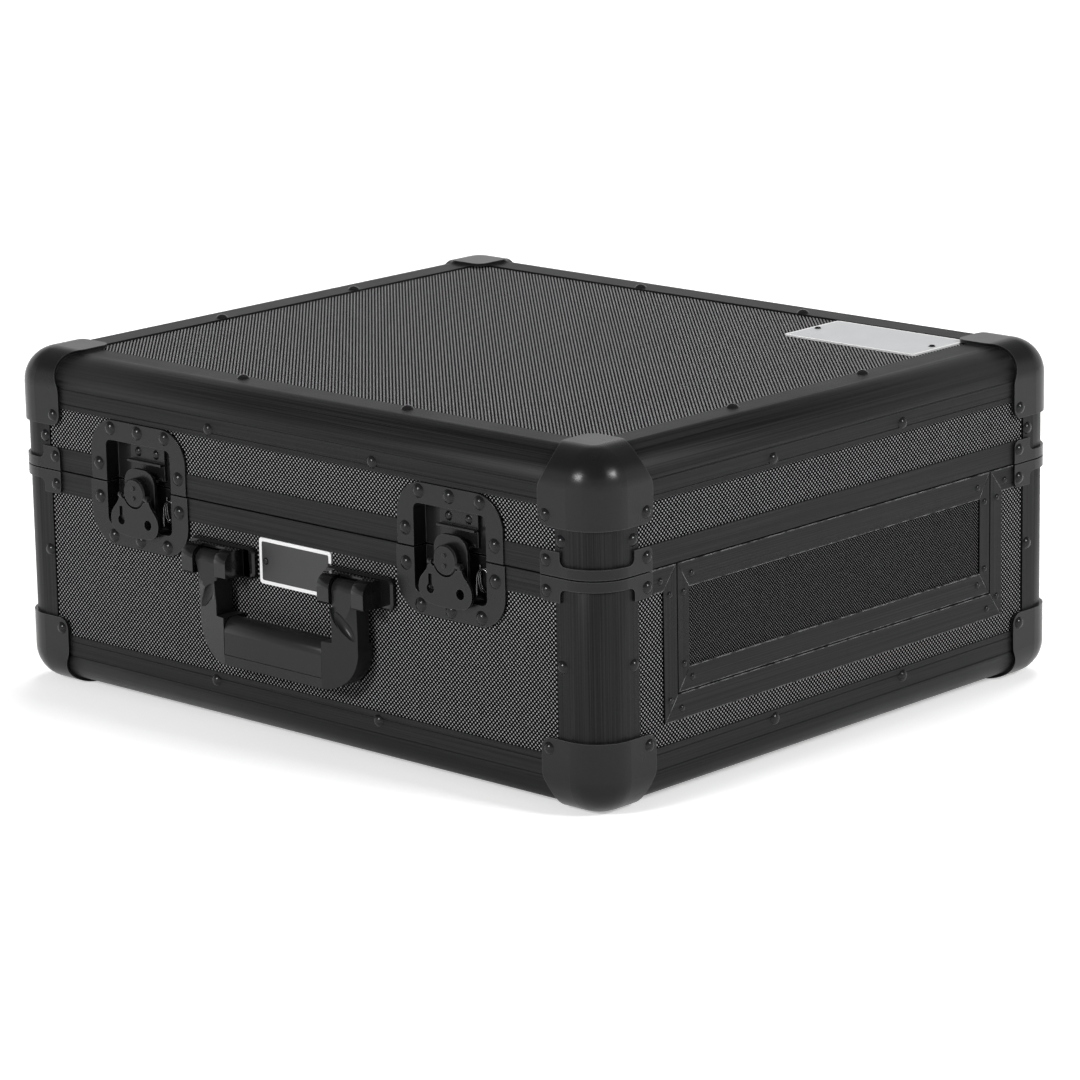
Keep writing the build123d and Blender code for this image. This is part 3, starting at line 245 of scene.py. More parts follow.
def laminate(name, across, up, look, fine=False):
    """Board laminate: raised dots on a square lattice turned by 45 degrees, over the two named axes.

    The lattice is the mean of two cosines along its diagonals; a smooth step cuts round dots out of it.
    """
    finish = Finish(name, Specular_IOR_Level=look.laminate_gloss)
    place = finish.axes(finish.position)
    a, b = place[across], place[up]
    pitch = look.dot_pitch * (look.fine_share if fine else 1.0)
    turn = 2 * math.pi / (pitch * math.sqrt(2))
    lattice = (((a + b) * turn).cosine() + ((a - b) * turn).cosine()) * 0.5
    dots = lattice.ease(look.dot_edge - DOT_SOFTNESS, look.dot_edge + DOT_SOFTNESS)
    cloud = finish.noise(finish.position, scale=9.0, detail=3.0)
    speck = finish.noise(finish.position, scale=500.0)
    lift = dots * (speck * 0.9 + 0.55) * (cloud * 0.3 + 0.85)
    bright = look.fine_dot_colour if fine else look.dot_colour
    finish.shade(Base_Color=finish.mix(lift.min(1.0), look.laminate_colour, bright))
    finish.shade(Roughness=0.62 - dots * 0.17 + cloud * 0.06)
    finish.bump(dots, distance=0.0002, strength=0.5)
    return finish.material


def level_lines(finish):
    """The position, drawn out along X on the front and back bars and along Y on the side bars."""
    x, y, z = finish.axes(finish.position)
    outer, inner = -BAR_WIDTH - BAR_BLUR, -BAR_WIDTH + BAR_BLUR
    at_side = (x.abs() - TOP_HIGH[X]).ease(outer, inner)
    at_end = ((y - CENTRE_Y).abs() - (TOP_HIGH[Y] - CENTRE_Y)).ease(outer, inner)
    along_x = (at_end - at_side * 0.5).above(0.25)
    kept = 1 - DRAWN_OUT
    return finish.vector(x * (1.0 - along_x * kept), y * (along_x * kept + DRAWN_OUT), z)


def upright_lines(finish):
    """The position, drawn out along Z."""
    x, y, z = finish.axes(finish.position)
    return finish.vector(x, y, z * DRAWN_OUT)


def extrusion(name, look, drawn, wear_and_highlight_reach=0.0):
    """Anodised extrusion: draw lines along its length, and edges made lighter over the given reach, as rubbed
    bare metal and as a painted edge highlight.
    """
    finish = Finish(name, Specular_IOR_Level=look.metal_gloss)
    lines = drawn(finish)
    fine = finish.noise(lines, scale=1500.0, rough=0.7)
    wide = finish.noise(lines, scale=330.0, rough=0.6)
    drift = finish.noise(finish.position, scale=26.0, detail=3.0, rough=0.6)
    streaks = fine * 0.8 + wide * 0.2 - 0.5
    tone = (streaks * LINE_CONTRAST + LINE_LEVEL).max(0.0).min(1.0)
    colour = finish.mix(tone, look.metal_colour, look.metal_line_colour)
    # Painted edge highlight along with rubbed bare metal: a lighter colour along sharp edges, in random
    # patches
    if wear_and_highlight_reach > 0:
        patch = finish.noise(finish.position, scale=150.0, detail=3.0).ease(0.35, 0.6)
        colour = finish.mix(finish.edge_wear_and_highlight(wear_and_highlight_reach) * patch, colour, look.bare_metal_and_highlight)
    finish.shade(Base_Color=colour)
    finish.shade(Roughness=0.30 + fine * 0.2 + drift * 0.1)
    finish.bump(fine * 0.7 + wide * 0.4, distance=0.00005, strength=0.7)
    return finish.material


def pressed_steel(name, look, colour, rough=0.29, wear_and_highlight_reach=0.0):
    """Coated pressed sheet: satin, with a fine orange-peel, a few rubbed patches, and edges made lighter as
    rubbed wear and as a painted edge highlight.
    """
    finish = Finish(name, Specular_IOR_Level=look.steel_gloss, IOR=1.5)
    peel = finish.noise(finish.position, scale=1400.0)
    cloud = finish.noise(finish.position, scale=38.0, detail=4.0, rough=0.6)
    rub = finish.noise(finish.position, scale=210.0, detail=4.0, rough=0.7).ease(0.62, 0.8)
    patches = (cloud * 0.5 + rub * 0.4).min(1.0)
    tone = finish.mix(patches, colour, toned(colour, 1.7, 0.004))
    # Painted edge highlight along with rubbed wear: a lighter colour along sharp edges
    if wear_and_highlight_reach > 0:
        tone = finish.mix(finish.edge_wear_and_highlight(wear_and_highlight_reach) * (cloud * 0.7 + 0.4), tone, look.worn_steel_and_highlight)
    finish.shade(Base_Color=tone)
    finish.shade(Roughness=rough + cloud * 0.1 + rub * 0.06 - 0.05)
    finish.bump(peel, distance=0.000012, strength=0.7)
    return finish.material


def moulding(name, colour, rough, gloss, depth=0.00002):
    """Moulded plastic: an even colour with slight flow marks and a fine surface grain."""
    finish = Finish(name, Specular_IOR_Level=gloss, IOR=1.47)
    flow = finish.noise(finish.position, scale=24.0, detail=3.0)
    fine = finish.noise(finish.position, scale=700.0)
    finish.shade(Base_Color=finish.mix(flow, colour, toned(colour, 1.5, 0.002)))
    finish.shade(Roughness=rough + flow * 0.08 - 0.04 + fine * 0.04)
    finish.bump(fine, distance=depth, strength=0.5)
    return finish.material


def bright_wire(name, look):
    """Plated spring wire with drawn streaks."""
    finish = Finish(name, Metallic=1.0)
    streak = finish.noise(finish.position, scale=160.0, detail=3.0)
    finish.shade(Base_Color=finish.mix(streak, look.wire_colour, toned(look.wire_colour, 0.7)))
    finish.shade(Roughness=streak * 0.1 + 0.2)
    return finish.material


def bordered_plate(name, node, axes, border, corner, inner, outer, gloss, stretch=1.0):
    """Bare plate with a border line: signed distance to a rounded rectangle picks border or field.

    The distance is the length of what is past the corners' centres, less the corner radius. Stretch is
    what is left of X in the grain, and a small one gives brushed streaks along X.
    """
    finish = Finish(name, Specular_IOR_Level=gloss)
    low, high = span(node)
    place = finish.axes(finish.position)
    gaps = []
    for axis in axes:
        half = float(high[axis] - low[axis]) / 2
        gaps.append((place[axis] - middle(low, high, axis)).abs() - (half - border - corner))
    past = [gap.max(0.0) for gap in gaps]
    outside = (past[0] * past[0] + past[1] * past[1]).power(0.5)
    distance = outside + gaps[0].max(gaps[1]).min(0.0) - corner
    rim = distance.ease(-BORDER_BLUR, BORDER_BLUR)
    grain = finish.noise(finish.vector(place[X] * stretch, place[Y], place[Z]), 1800.0, 3.0, 0.7)
    scuff = finish.noise(finish.position, scale=60.0, detail=4.0, rough=0.6)
    field = finish.mix(grain * 0.6 + scuff * 0.4, inner, toned(inner, 1.45))
    edge = finish.mix(grain * 0.4 + scuff * 0.2, outer, toned(outer, 0.82))
    finish.shade(Base_Color=finish.mix(rim, field, edge))
    finish.shade(Roughness=grain * 0.15 + 0.32)
    finish.bump(grain * 0.2 + rim * 0.8, distance=0.00006, strength=0.5)
    return finish.material


def open_foam(name, look):
    """Open-cell foam: tiny cells in bump and tone."""
    finish = Finish(name, Specular_IOR_Level=0.12, Roughness=0.95)
    cells = finish.add("ShaderNodeTexVoronoi", None, {"Vector": finish.position, "Scale": 1100.0})
    cloud = finish.noise(finish.position, scale=40.0, detail=3.0)
    tone = (cells * 0.7 + cloud * 0.4).min(1.0)
    finish.shade(Base_Color=finish.mix(tone, look.foam_colour, toned(look.foam_colour, 2.2)))
    finish.bump(cells, distance=0.0004, strength=0.6)
    return finish.material


# Meshes


def mesh_piece(name, points, faces, smooth=True):
    """A mesh object at the origin from an array of points and lists of corner numbers."""
    mesh = bpy.data.meshes.new(name)
    mesh.from_pydata(points.tolist(), [], faces)
    mesh.polygons.foreach_set("use_smooth", [smooth] * len(mesh.polygons))
    mesh.update()
    piece = bpy.data.objects.new(name, mesh)
    bpy.context.scene.collection.objects.link(piece)
    return piece


def grid_faces(rows, columns, start=0, wrap=False):
    """Quads between neighbouring rows and columns of points, counter-clockwise seen from above."""
    last = columns if wrap else columns - 1
    i, j = np.meshgrid(np.arange(rows - 1), np.arange(last), indexing="ij")
    k = (j + 1) % columns
    corners = [i * columns + j, i * columns + k, (i + 1) * columns + k, (i + 1) * columns + j]
    return (np.stack(corners, -1).reshape(-1, 4) + start).tolist()


def rim_distance(a, b, size):
    """How far a point of a pad is from the nearest of its four sides."""
    return np.minimum(np.minimum(a, size[0] - a), np.minimum(b, size[1] - b))


def pad(name, origin, axes, size, lines_a, lines_b, height, tuck):
    """Foam pad: a height field over two sets of lines, four sides that pull in, and a flat back.

    A point is origin + a * A + b * B + h(a, b) * C. On the sides the height runs from the rim down to
    the back while the point moves in by tuck times the sine of its share of the way.
    """
    rows = 5
    a, b = np.meshgrid(lines_a, lines_b, indexing="xy")
    top = np.stack([a, b, height(a, b)], -1).reshape(-1, 3)
    n_b, n_a = a.shape
    index = np.arange(n_a * n_b).reshape(n_b, n_a)
    loop = np.concatenate([index[0, :-1], index[:-1, -1], index[-1, :0:-1], index[:0:-1, 0]])
    rim = top[loop]
    centre = np.array([size[0] / 2, size[1] / 2])
    inward = np.sign(centre - rim[:, :2]) * (np.abs(rim[:, :2] - centre) > centre - 1e-6)
    share = (np.arange(1, rows + 1) / rows)[:, None]
    sides = np.empty((rows, len(loop), 3))
    sides[..., :2] = rim[None, :, :2] + inward[None] * (tuck * np.sin(math.pi * share))[..., None]
    sides[..., 2] = rim[None, :, 2] * (1 - share)
    points = np.concatenate([top, sides.reshape(-1, 3)])
    ring = len(loop)
    upper = np.concatenate([loop[None], (n_a * n_b + np.arange(rows * ring)).reshape(rows, ring)])
    after = np.roll(upper, -1, axis=1)
    walls = np.stack([upper[1:], after[1:], after[:-1], upper[:-1]], -1).reshape(-1, 4)
    faces = grid_faces(n_b, n_a) + walls.tolist()
    faces.append(upper[-1][::-1].tolist())
    return mesh_piece(name, np.array(origin) + points @ np.array(axes, float), faces)


def lathe(name, places, profile):
    """One small turned piece at each place, closed by a flat foot and a tip.

    A point is centre + radius * (cos t * first + sin t * second) + height * out, for each radius and
    height of the profile and t round the circle.
    """
    steps = 24
    radii, heights = np.array(profile, float).T
    angle = np.linspace(0, 2 * math.pi, steps, endpoint=False)
    circle = np.arange(steps)
    points = []
    faces = []
    for centre, normal in places:
        out = np.array(normal, float)
        first = np.cross(out, [0.0, 0.0, 1.0] if abs(out[Z]) < 0.9 else [1.0, 0.0, 0.0])
        second = np.cross(out, first)
        start = sum(len(block) for block in points)
        flat = np.cos(angle)[None, :, None] * first + np.sin(angle)[None, :, None] * second
        body = np.array(centre) + radii[:, None, None] * flat + heights[:, None, None] * out
        points.append(body.reshape(-1, 3))
        points.append((np.array(centre) + out * heights[-1])[None])
        top = start + (len(radii) - 1) * steps
        tip = np.full(steps, top + steps)
        faces += grid_faces(len(radii), steps, start, wrap=True)
        faces.append((start + circle)[::-1].tolist())
        faces += np.stack([top + circle, top + np.roll(circle, -1), tip], -1).tolist()
    return mesh_piece(name, np.concatenate(points), faces)


# What a user would change


def colour_property(name, description, default):
    return bpy.props.FloatVectorProperty(
        name=name, description=description, default=default, min=0.0, max=1.0, subtype="COLOR"
    )


def share_property(name, description, default):
    return bpy.props.FloatProperty(
        name=name, description=description, default=default, min=0.0, max=1.0, subtype="FACTOR"
    )


def length_property(name, description, default):
    return bpy.props.FloatProperty(
        name=name, description=description, default=default, min=0.0, unit="LENGTH", precision=5
    )


class CaseFinishes(bpy.types.PropertyGroup):
    """Colours and gloss of the case."""

    laminate_colour: colour_property("Laminate", "Ground of the board laminate", (0.0015, 0.0015, 0.0017))
    dot_colour: colour_property("Dots", "Raised dots of the laminate", (0.30, 0.30, 0.303))
    fine_dot_colour: colour_property("Fine dots", "Dots on the access panel", (0.11, 0.11, 0.111))
    laminate_gloss: share_property("Laminate gloss", "Specular level of the laminate", 0.02)
    dot_pitch: length_property("Dot pitch", "Distance between dots along a diagonal row", 0.00197)
    fine_share: share_property("Fine share", "Pitch of the access panel's dots, as a share", 0.77)
    dot_edge: share_property("Dot edge", "Higher makes the dots smaller", 0.42)
    metal_colour: colour_property("Extrusion", "Anodised colour", (0.0022, 0.0022, 0.0025))
    metal_line_colour: colour_property("Draw lines", "Lighter draw lines", (0.0135, 0.0135, 0.0142))
    # Colour of the mitred bars' lighter edges: painted edge highlight as well as bare rubbed metal
    bare_metal_and_highlight: colour_property("Bare metal", "Rubbed edges of the mitred bars", (0.28, 0.28, 0.284))
    metal_gloss: share_property("Extrusion gloss", "Specular level of the extrusions", 0.14)
    steel_colour: colour_property("Steel", "Coated corners and dishes", (0.0045, 0.0045, 0.0049))
    # Colour of the steel's lighter edges: painted edge highlight as well as rubbed wear
    worn_steel_and_highlight: colour_property("Rubbed steel", "Edges of the coated sheet", (0.05, 0.05, 0.051))
    rivet_colour: colour_property("Rivets", "Rivet heads", (0.006, 0.006, 0.0064))
    steel_gloss: share_property("Steel gloss", "Specular level of the steel", 0.23)
    moulding_colour: colour_property("Moulding", "Handle brackets", (0.003, 0.003, 0.0033))
    handle_colour: colour_property("Handle", "Frame and grip", (0.008, 0.008, 0.0084))
    wire_colour: colour_property("Wire", "Spring wire", (0.20, 0.20, 0.204))
    label_field: colour_property("Label field", "Bare field of the front plate", (0.018, 0.0182, 0.019))
    label_border: colour_property("Label border", "Border of the front plate", (0.78, 0.78, 0.78))
    name_field: colour_property("Name plate", "Bare field of the top plate", (0.30, 0.305, 0.31))
    name_border: colour_property("Name border", "Border of the top plate", (0.62, 0.62, 0.62))
    foam_colour: colour_property("Foam", "Open-cell foam", (0.022, 0.022, 0.025))


class CaseSizes(bpy.types.PropertyGroup):
    """Sizes of the fine pieces, of rounded edges, and of the lighter edges that stand for wear and a painted
    edge highlight.
    """

    label_border_width: length_property("Label border", "Width of the front plate's border", 0.0021)
    name_border_width: length_property("Name border", "Width of the top plate's border", 0.0016)
    plate_corner: length_property("Plate corner", "Inner corner radius of the borders", 0.0012)
    plate_rivet: length_property("Plate rivet", "Radius of the rivets in the plates", 0.0021)
    bar_edge: length_property("Bar edge", "Rounding of the extrusions' edges", 0.0003)
    latch_edge: length_property("Latch edge", "Rounding of the latches' sheet edges", 0.0004)
    bracket_edge: length_property("Bracket edge", "Rounding of the handle brackets", 0.0007)
    handle_edge: length_property("Handle edge", "Rounding of the handle frame", 0.0009)
    grip_edge: length_property("Grip edge", "Rounding of the grip", 0.0006)
    # Reaches of the lighter edges, which are painted edge highlight as well as rubbed wear
    bar_wear_and_highlight: length_property("Bar wear", "Reach of the bare edges of the mitred bars", 0.0011)
    corner_wear_and_highlight: length_property("Corner wear", "Reach of the rubbed edges of corners and braces", 0.0009)
    latch_wear_and_highlight: length_property("Latch wear", "Reach of the rubbed edges of the latches", 0.0008)
    crate_pitch: length_property("Crate pitch", "Distance between peaks of the lid foam", 0.034)
    crate_depth: length_property("Crate depth", "Peak to valley of the lid foam", 0.013)
    cut_pitch: length_property("Cut pitch", "Distance between cuts in the floor foam", 0.0152)
    cut_depth: length_property("Cut depth", "Depth of the cuts in the floor foam", 0.0016)


def dress(names, material, ease=0.0):
    """Give CAD nodes their material, and a small round on their edges where one is asked for."""
    for name in names:
        node = NODES[name]
        node.data.materials.clear()
        node.data.materials.append(material)
        if ease > 0:
            weld = node.modifiers.new("Weld", "WELD")
            weld.merge_threshold = 1e-6
            flatten = node.modifiers.new("Flat faces", "DECIMATE")
            flatten.decimate_type = "DISSOLVE"
            flatten.angle_limit = math.radians(0.5)
            bevel = node.modifiers.new("Edge ease", "BEVEL")
            bevel.width = ease
            bevel.segments = 2
            bevel.limit_method = "ANGLE"
            bevel.angle_limit = math.radians(40)
            bevel.harden_normals = True


# Stage

PHOTO_WIDTH = 1080
FOCAL_PIXELS = 4682.103
SENSOR_WIDTH = 36.0
CAMERA_AZIMUTH = math.radians(43.201)
CAMERA_ELEVATION = math.radians(14.023)
CAMERA_ROLL = math.radians(-1.097)
CAMERA_FROM_CENTRE = (1.898669, -2.017183, 0.639608)

SURROUND_LIGHT = 0.24
SURROUND_SEEN = 1.0
CEILING_SEEN = 0.2
CEILING_START, CEILING_FULL = 0.24, 0.52  # Height of the direction looked in

FLOOR_RADIUS = 6.0
FLOOR_CORNERS = 96
FLOOR_DROP = 0.0004
FLOOR_COLOUR = (0.82, 0.82, 0.82, 1.0)
GLOW_NEAR, GLOW_FAR = 0.42, 0.92
GLOW_START, GLOW_FULL = 0.6, 5.0  # Square of the distance from the origin

# Name, place, aim, width, power, and whether it shows in gloss
LAMPS = (
    ("overhead", (-0.4, 0.9, 2.2), (0.0, 0.0, 0.15), 1.5, 44.0, False),
    ("front", (-0.07, -2.9, 1.45), (0.0, 0.0, 0.1), 0.6, 64.0, True),
    ("right", (2.78, 0.28, 1.72), (0.0, 0.0, 0.1), 0.6, 60.0, True),
)


class CASE_OT_stage(bpy.types.Operator):
    """Pale floor, white surround, soft lamps and the camera"""

    bl_idname = "case.stage"
    bl_label = "Stage"

    def execute(self, context):
        make_camera(context.scene)
        make_surround(context.scene)
        make_floor()
        make_lamps(context.scene)
        context.scene.view_settings.view_transform = "Standard"
        return {"FINISHED"}


def make_camera(scene):
    """Camera of the photograph: place, direction and roll of the fit, measured from the seam's middle."""
    azimuth, elevation, roll = CAMERA_AZIMUTH, CAMERA_ELEVATION, CAMERA_ROLL
    level = math.cos(elevation)
    back = Vector((math.sin(azimuth) * level, -math.cos(azimuth) * level, math.sin(elevation)))
    right = Vector((math.cos(azimuth), math.sin(azimuth), 0.0))
    up = back.cross(right)
    turned = right * math.cos(roll) + up * math.sin(roll)
    upright = up * math.cos(roll) - right * math.sin(roll)
    data = bpy.data.cameras.new("Camera")
    data.lens = FOCAL_PIXELS / PHOTO_WIDTH * SENSOR_WIDTH
    data.sensor_width = SENSOR_WIDTH
    data.clip_start = 0.1
    data.clip_end = 60.0
    camera = bpy.data.objects.new("Camera", data)
    place = Vector(CAMERA_FROM_CENTRE) + Vector((0.0, CENTRE_Y, SEAM_Z))
    rows = [(turned[i], upright[i], back[i], place[i]) for i in range(3)]
    camera.matrix_world = Matrix([*rows, (0.0, 0.0, 0.0, 1.0)])
    scene.collection.objects.link(camera)
    scene.camera = camera


def make_surround(scene):
    """World: white where it is seen near the horizon, a dim ceiling overhead, a soft grey where it lights."""
    world = bpy.data.worlds.new("Surround")
    world.use_nodes = True
    tree = Tree(world.node_tree)
    tree.nodes.clear()
    lit, horizon, ceiling = [
        tree.add("ShaderNodeBackground", None, {"Color": WHITE, "Strength": strength})
        for strength in (SURROUND_LIGHT, SURROUND_SEEN, CEILING_SEEN)
    ]
    height = tree.axes(tree.add("ShaderNodeTexCoord", output="Generated"))[Z]
    seen = tree.blend(height.ease(CEILING_START, CEILING_FULL), horizon, ceiling)
    surround = tree.blend(tree.seen_directly(), lit, seen)
    tree.add("ShaderNodeOutputWorld", None, {"Surface": surround})
    scene.world = world


def make_floor():
    """Round pale floor, white out to its rim where the camera sees it, with the case's shadow kept.

    The rim's points are radius * (cos t, sin t). A glow that grows with distance is added by the
    factor of a shader mix, on the rays that see the floor directly.
    """
    angle = np.linspace(0, 2 * math.pi, FLOOR_CORNERS, endpoint=False)
    drop = np.full(FLOOR_CORNERS, -FLOOR_DROP)
    points = np.stack([FLOOR_RADIUS * np.cos(angle), FLOOR_RADIUS * np.sin(angle), drop], -1)
    floor = mesh_piece("floor", points, [list(range(FLOOR_CORNERS))], smooth=False)
    finish = Finish("pale_floor", Base_Color=FLOOR_COLOUR, Roughness=0.9, Specular_IOR_Level=0.1)
    x, y, _ = finish.axes(finish.position)
    glow = (x * x + y * y).ease(GLOW_START, GLOW_FULL) * (GLOW_FAR - GLOW_NEAR) + GLOW_NEAR
    plain = Value(finish, finish.shader.outputs["BSDF"])
    light = finish.add("ShaderNodeEmission", None, {"Color": WHITE, "Strength": 1.0})
    glowing = finish.add("ShaderNodeAddShader", None, {0: plain, 1: light})
    surface = finish.blend(finish.seen_directly() * glow, plain, glowing)
    finish.put(finish.nodes["Material Output"].inputs["Surface"], surface)
    floor.data.materials.append(finish.material)


def make_lamps(scene):
    """Soft square lamps."""
    for name, place, aim, width, power, in_gloss in LAMPS:
        data = bpy.data.lights.new(name, "AREA")
        data.size = width
        data.energy = power
        lamp = bpy.data.objects.new(name, data)
        lamp.location = place
        lamp.rotation_euler = (Vector(aim) - Vector(place)).to_track_quat("-Z", "Y").to_euler()
        lamp.visible_glossy = in_gloss
        scene.collection.objects.link(lamp)


# Pieces of the case


class CASE_OT_boards(bpy.types.Operator):
    """Laminate on every board, with its dots laid out over each board's own two axes"""

    bl_idname = "case.boards"
    bl_label = "Boards"

    def execute(self, context):
        look = context.scene.case_finishes
        dress(["tray_base_panel", "lid_top_panel"], laminate("laminate_flat", X, Y, look))
        front = laminate("laminate_front", X, Z, look)
        side = laminate("laminate_side", Y, Z, look)
        for owner in ("tray", "lid"):
            dress([f"{owner}_front_panel", f"{owner}_back_panel"], front)
            dress([f"{owner}_left_panel", f"{owner}_right_panel"], side)
        dress(["access_panel_board"], laminate("laminate_fine", Y, Z, look, fine=True))
        return {"FINISHED"}


class CASE_OT_extrusions(bpy.types.Operator):
    """Anodised edge extrusions, posts, rim bars and access frame"""

    bl_idname = "case.extrusions"
    bl_label = "Extrusions"

    def execute(self, context):
        look, sizes = context.scene.case_finishes, context.scene.case_sizes
        bars = extrusion("anodised_bars", look, level_lines)
        # The mitred bars get a painted edge highlight together with their rubbed edges
        mitred = extrusion("anodised_mitred_bars", look, level_lines, wear_and_highlight_reach=sizes.bar_wear_and_highlight)
        posts = extrusion("anodised_posts", look, upright_lines)
        jambs = extrusion("anodised_jambs", look, upright_lines)
        short = ["tray_side_rim_bars", "access_frame_sill", "access_panel_top_bar", "access_panel_bottom_bar"]
        dress(["tray_base_edges", "lid_top_edges", "tray_rim_bars", "lid_rim_bars"], bars, sizes.bar_edge)
        dress(short, mitred, sizes.bar_edge)
        dress(["tray_corner_posts", "lid_corner_posts"], posts, sizes.bar_edge)
        dress(["access_frame_jambs", "access_panel_side_bars"], jambs, sizes.bar_edge)
        return {"FINISHED"}


class CASE_OT_corners(bpy.types.Operator):
    """Ball corners and seam braces"""

    bl_idname = "case.corners"
    bl_label = "Corners"

    def execute(self, context):
        look, sizes = context.scene.case_finishes, context.scene.case_sizes
        # Corners and braces get a painted edge highlight together with their rubbed edges
        steel = pressed_steel("corner_steel", look, look.steel_colour, wear_and_highlight_reach=sizes.corner_wear_and_highlight)
        dress(["tray_ball_corners", "lid_ball_corners", "tray_corner_braces", "lid_corner_braces"], steel)
        return {"FINISHED"}


class CASE_OT_rivets(bpy.types.Operator):
    """Rivet heads over the whole case"""

    bl_idname = "case.rivets"
    bl_label = "Rivets"

    def execute(self, context):
        look = context.scene.case_finishes
        glossy = pressed_steel("rivet_steel", look, look.rivet_colour, rough=0.22)
        dress(["tray_rivets", "lid_rivets", "access_panel_rivets"], glossy)
        return {"FINISHED"}


class CASE_OT_latches(bpy.types.Operator):
    """Twist latches: dishes, catches, hooks, bosses, wings and springs"""

    bl_idname = "case.latches"
    bl_label = "Latches"

    def execute(self, context):
        look, sizes = context.scene.case_finishes, context.scene.case_sizes
        # The latch sheets get a painted edge highlight together with their rubbed edges
        steel = pressed_steel("latch_steel", look, look.steel_colour, rough=0.28, wear_and_highlight_reach=sizes.latch_wear_and_highlight)
        sheets = ("dish_lower", "dish_upper", "keeper", "hook", "wing")
        for side in ("left", "right"):
            dress([f"latch_{side}_{sheet}" for sheet in sheets], steel, sizes.latch_edge)
            dress([f"latch_{side}_boss"], steel)
            dress([f"latch_{side}_spring"], bright_wire(f"wire_{side}", look))
        return {"FINISHED"}


class CASE_OT_handle(bpy.types.Operator):
    """Handle brackets, pins, frame and grip"""

    bl_idname = "case.handle"
    bl_label = "Handle"

    def execute(self, context):
        look, sizes = context.scene.case_finishes, context.scene.case_sizes
        glossy = moulding("bracket_moulding", look.moulding_colour, rough=0.12, gloss=0.34, depth=0.000006)
        satin = moulding("handle_moulding", look.handle_colour, rough=0.29, gloss=0.2)
        dress(["handle_bracket_left", "handle_bracket_right"], glossy, sizes.bracket_edge)
        dress(["handle_frame"], satin, sizes.handle_edge)
        dress(["handle_grip"], satin, sizes.grip_edge)
        dress(["handle_pins"], pressed_steel("pin_steel", look, look.rivet_colour, rough=0.2))
        return {"FINISHED"}


# Distance of a plate's rivets from its left and right end, and the shape of their heads as shares of
# the radius
LABEL_RIVET_INSETS = (0.0052, 0.0052)
NAME_RIVET_INSETS = (0.0055, 0.0065)
DOME_RISE = 0.55
DOME_TIP = 0.02


def dome(radius):
    """Profile of a rivet head: a quarter of an ellipse from the rim, then a small flat tip."""
    angles = np.linspace(0, math.pi / 2, 7)[:-1]
    rise = DOME_RISE * radius
    rounded = np.stack([radius * np.cos(angles), rise * np.sin(angles)], -1)
    return np.concatenate([rounded, [(DOME_TIP * radius, rise)]])


def plate_rivets(name, node, insets, normal, profile):
    """Two rivet heads on a plate, one near each end, on the face that its normal points out of."""
    low, high = span(node)
    place = (low + high) / 2
    for axis in (Y, Z):
        if normal[axis]:
            place[axis] = high[axis] if normal[axis] > 0 else low[axis]
    ends = (low[X] + insets[0], high[X] - insets[1])
    return lathe(name, [((end, place[Y], place[Z]), normal) for end in ends], profile)


class CASE_OT_plates(bpy.types.Operator):
    """Bare label plate and name plate, with their rivets"""

    bl_idname = "case.plates"
    bl_label = "Plates"

    def execute(self, context):
        look, sizes = context.scene.case_finishes, context.scene.case_sizes
        label = bordered_plate("label_finish", "front_label_plate", (X, Z), sizes.label_border_width,
                               sizes.plate_corner, look.label_field, look.label_border, gloss=0.4)
        name = bordered_plate("name_finish", "lid_name_plate", (X, Y), sizes.name_border_width,
                              sizes.plate_corner, look.name_field, look.name_border, gloss=0.5,
                              stretch=0.02)
        dress(["front_label_plate"], label)
        dress(["lid_name_plate"], name)
        profile = dome(sizes.plate_rivet)
        front = plate_rivets("label_rivets", "front_label_plate", LABEL_RIVET_INSETS, (0, -1, 0), profile)
        top = plate_rivets("name_plate_rivets", "lid_name_plate", NAME_RIVET_INSETS, (0, 0, 1), profile)
        rivets = pressed_steel("plate_rivet_steel", look, look.rivet_colour, rough=0.25)
        for piece, body in ((front, "tray"), (top, "lid")):
            piece.data.materials.append(rivets)
            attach(piece, body)
        return {"FINISHED"}


class CASE_OT_hinges(bpy.types.Operator):
    """Back hinges"""

    bl_idname = "case.hinges"
    bl_label = "Hinges"

    def execute(self, context):
        look = context.scene.case_finishes
        steel = pressed_steel("hinge_steel", look, look.steel_colour, rough=0.3)
        dress(["hinge_tray_leaves", "hinge_lid_leaves"], steel)
        dress(["hinge_pins"], pressed_steel("hinge_pin_steel", look, look.rivet_colour, rough=0.2))
        return {"FINISHED"}


# Foam. Each pad stays a little inside the CAD solid that it replaces.

FOAM_CLEAR = 0.0002
CRATE_LINES = (165, 141)
CRATE_FADE_START, CRATE_FADE_RUN = 0.002, 0.01
CRATE_ROLL, CRATE_ROLL_DROP = 0.003, 0.0025
CUT_WIDTH, CUT_SHARPNESS = 0.0006, 1.2
WALL_THICK = 0.010
WALL_GAP = 0.0003
WALL_CLEAR = 0.0007
WALL_ROLL, WALL_ROLL_DROP = 0.004, 0.0035
WALL_CROWN, WALL_CROWN_RUN = 0.0004, 0.03
WALL_LINES = (40, 12)


class CASE_OT_foam(bpy.types.Operator):
    """Egg-crate foam in the lid, cut-cell foam on the floor and smooth pads round the tray"""

    bl_idname = "case.foam"
    bl_label = "Foam"

    def execute(self, context):
        look, sizes = context.scene.case_finishes, context.scene.case_sizes
        material = open_foam("foam_cells", look)
        made = [(lid_crate(sizes), "lid", "lid_foam"), (floor_foam(sizes), "tray", "tray_floor_foam")]
        made += [(piece, "tray", "tray_wall_foam") for piece in wall_foam()]
        for piece, body, node in made:
            piece.data.materials.append(material)
            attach(piece, body)
            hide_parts(node)
        return {"FINISHED"}


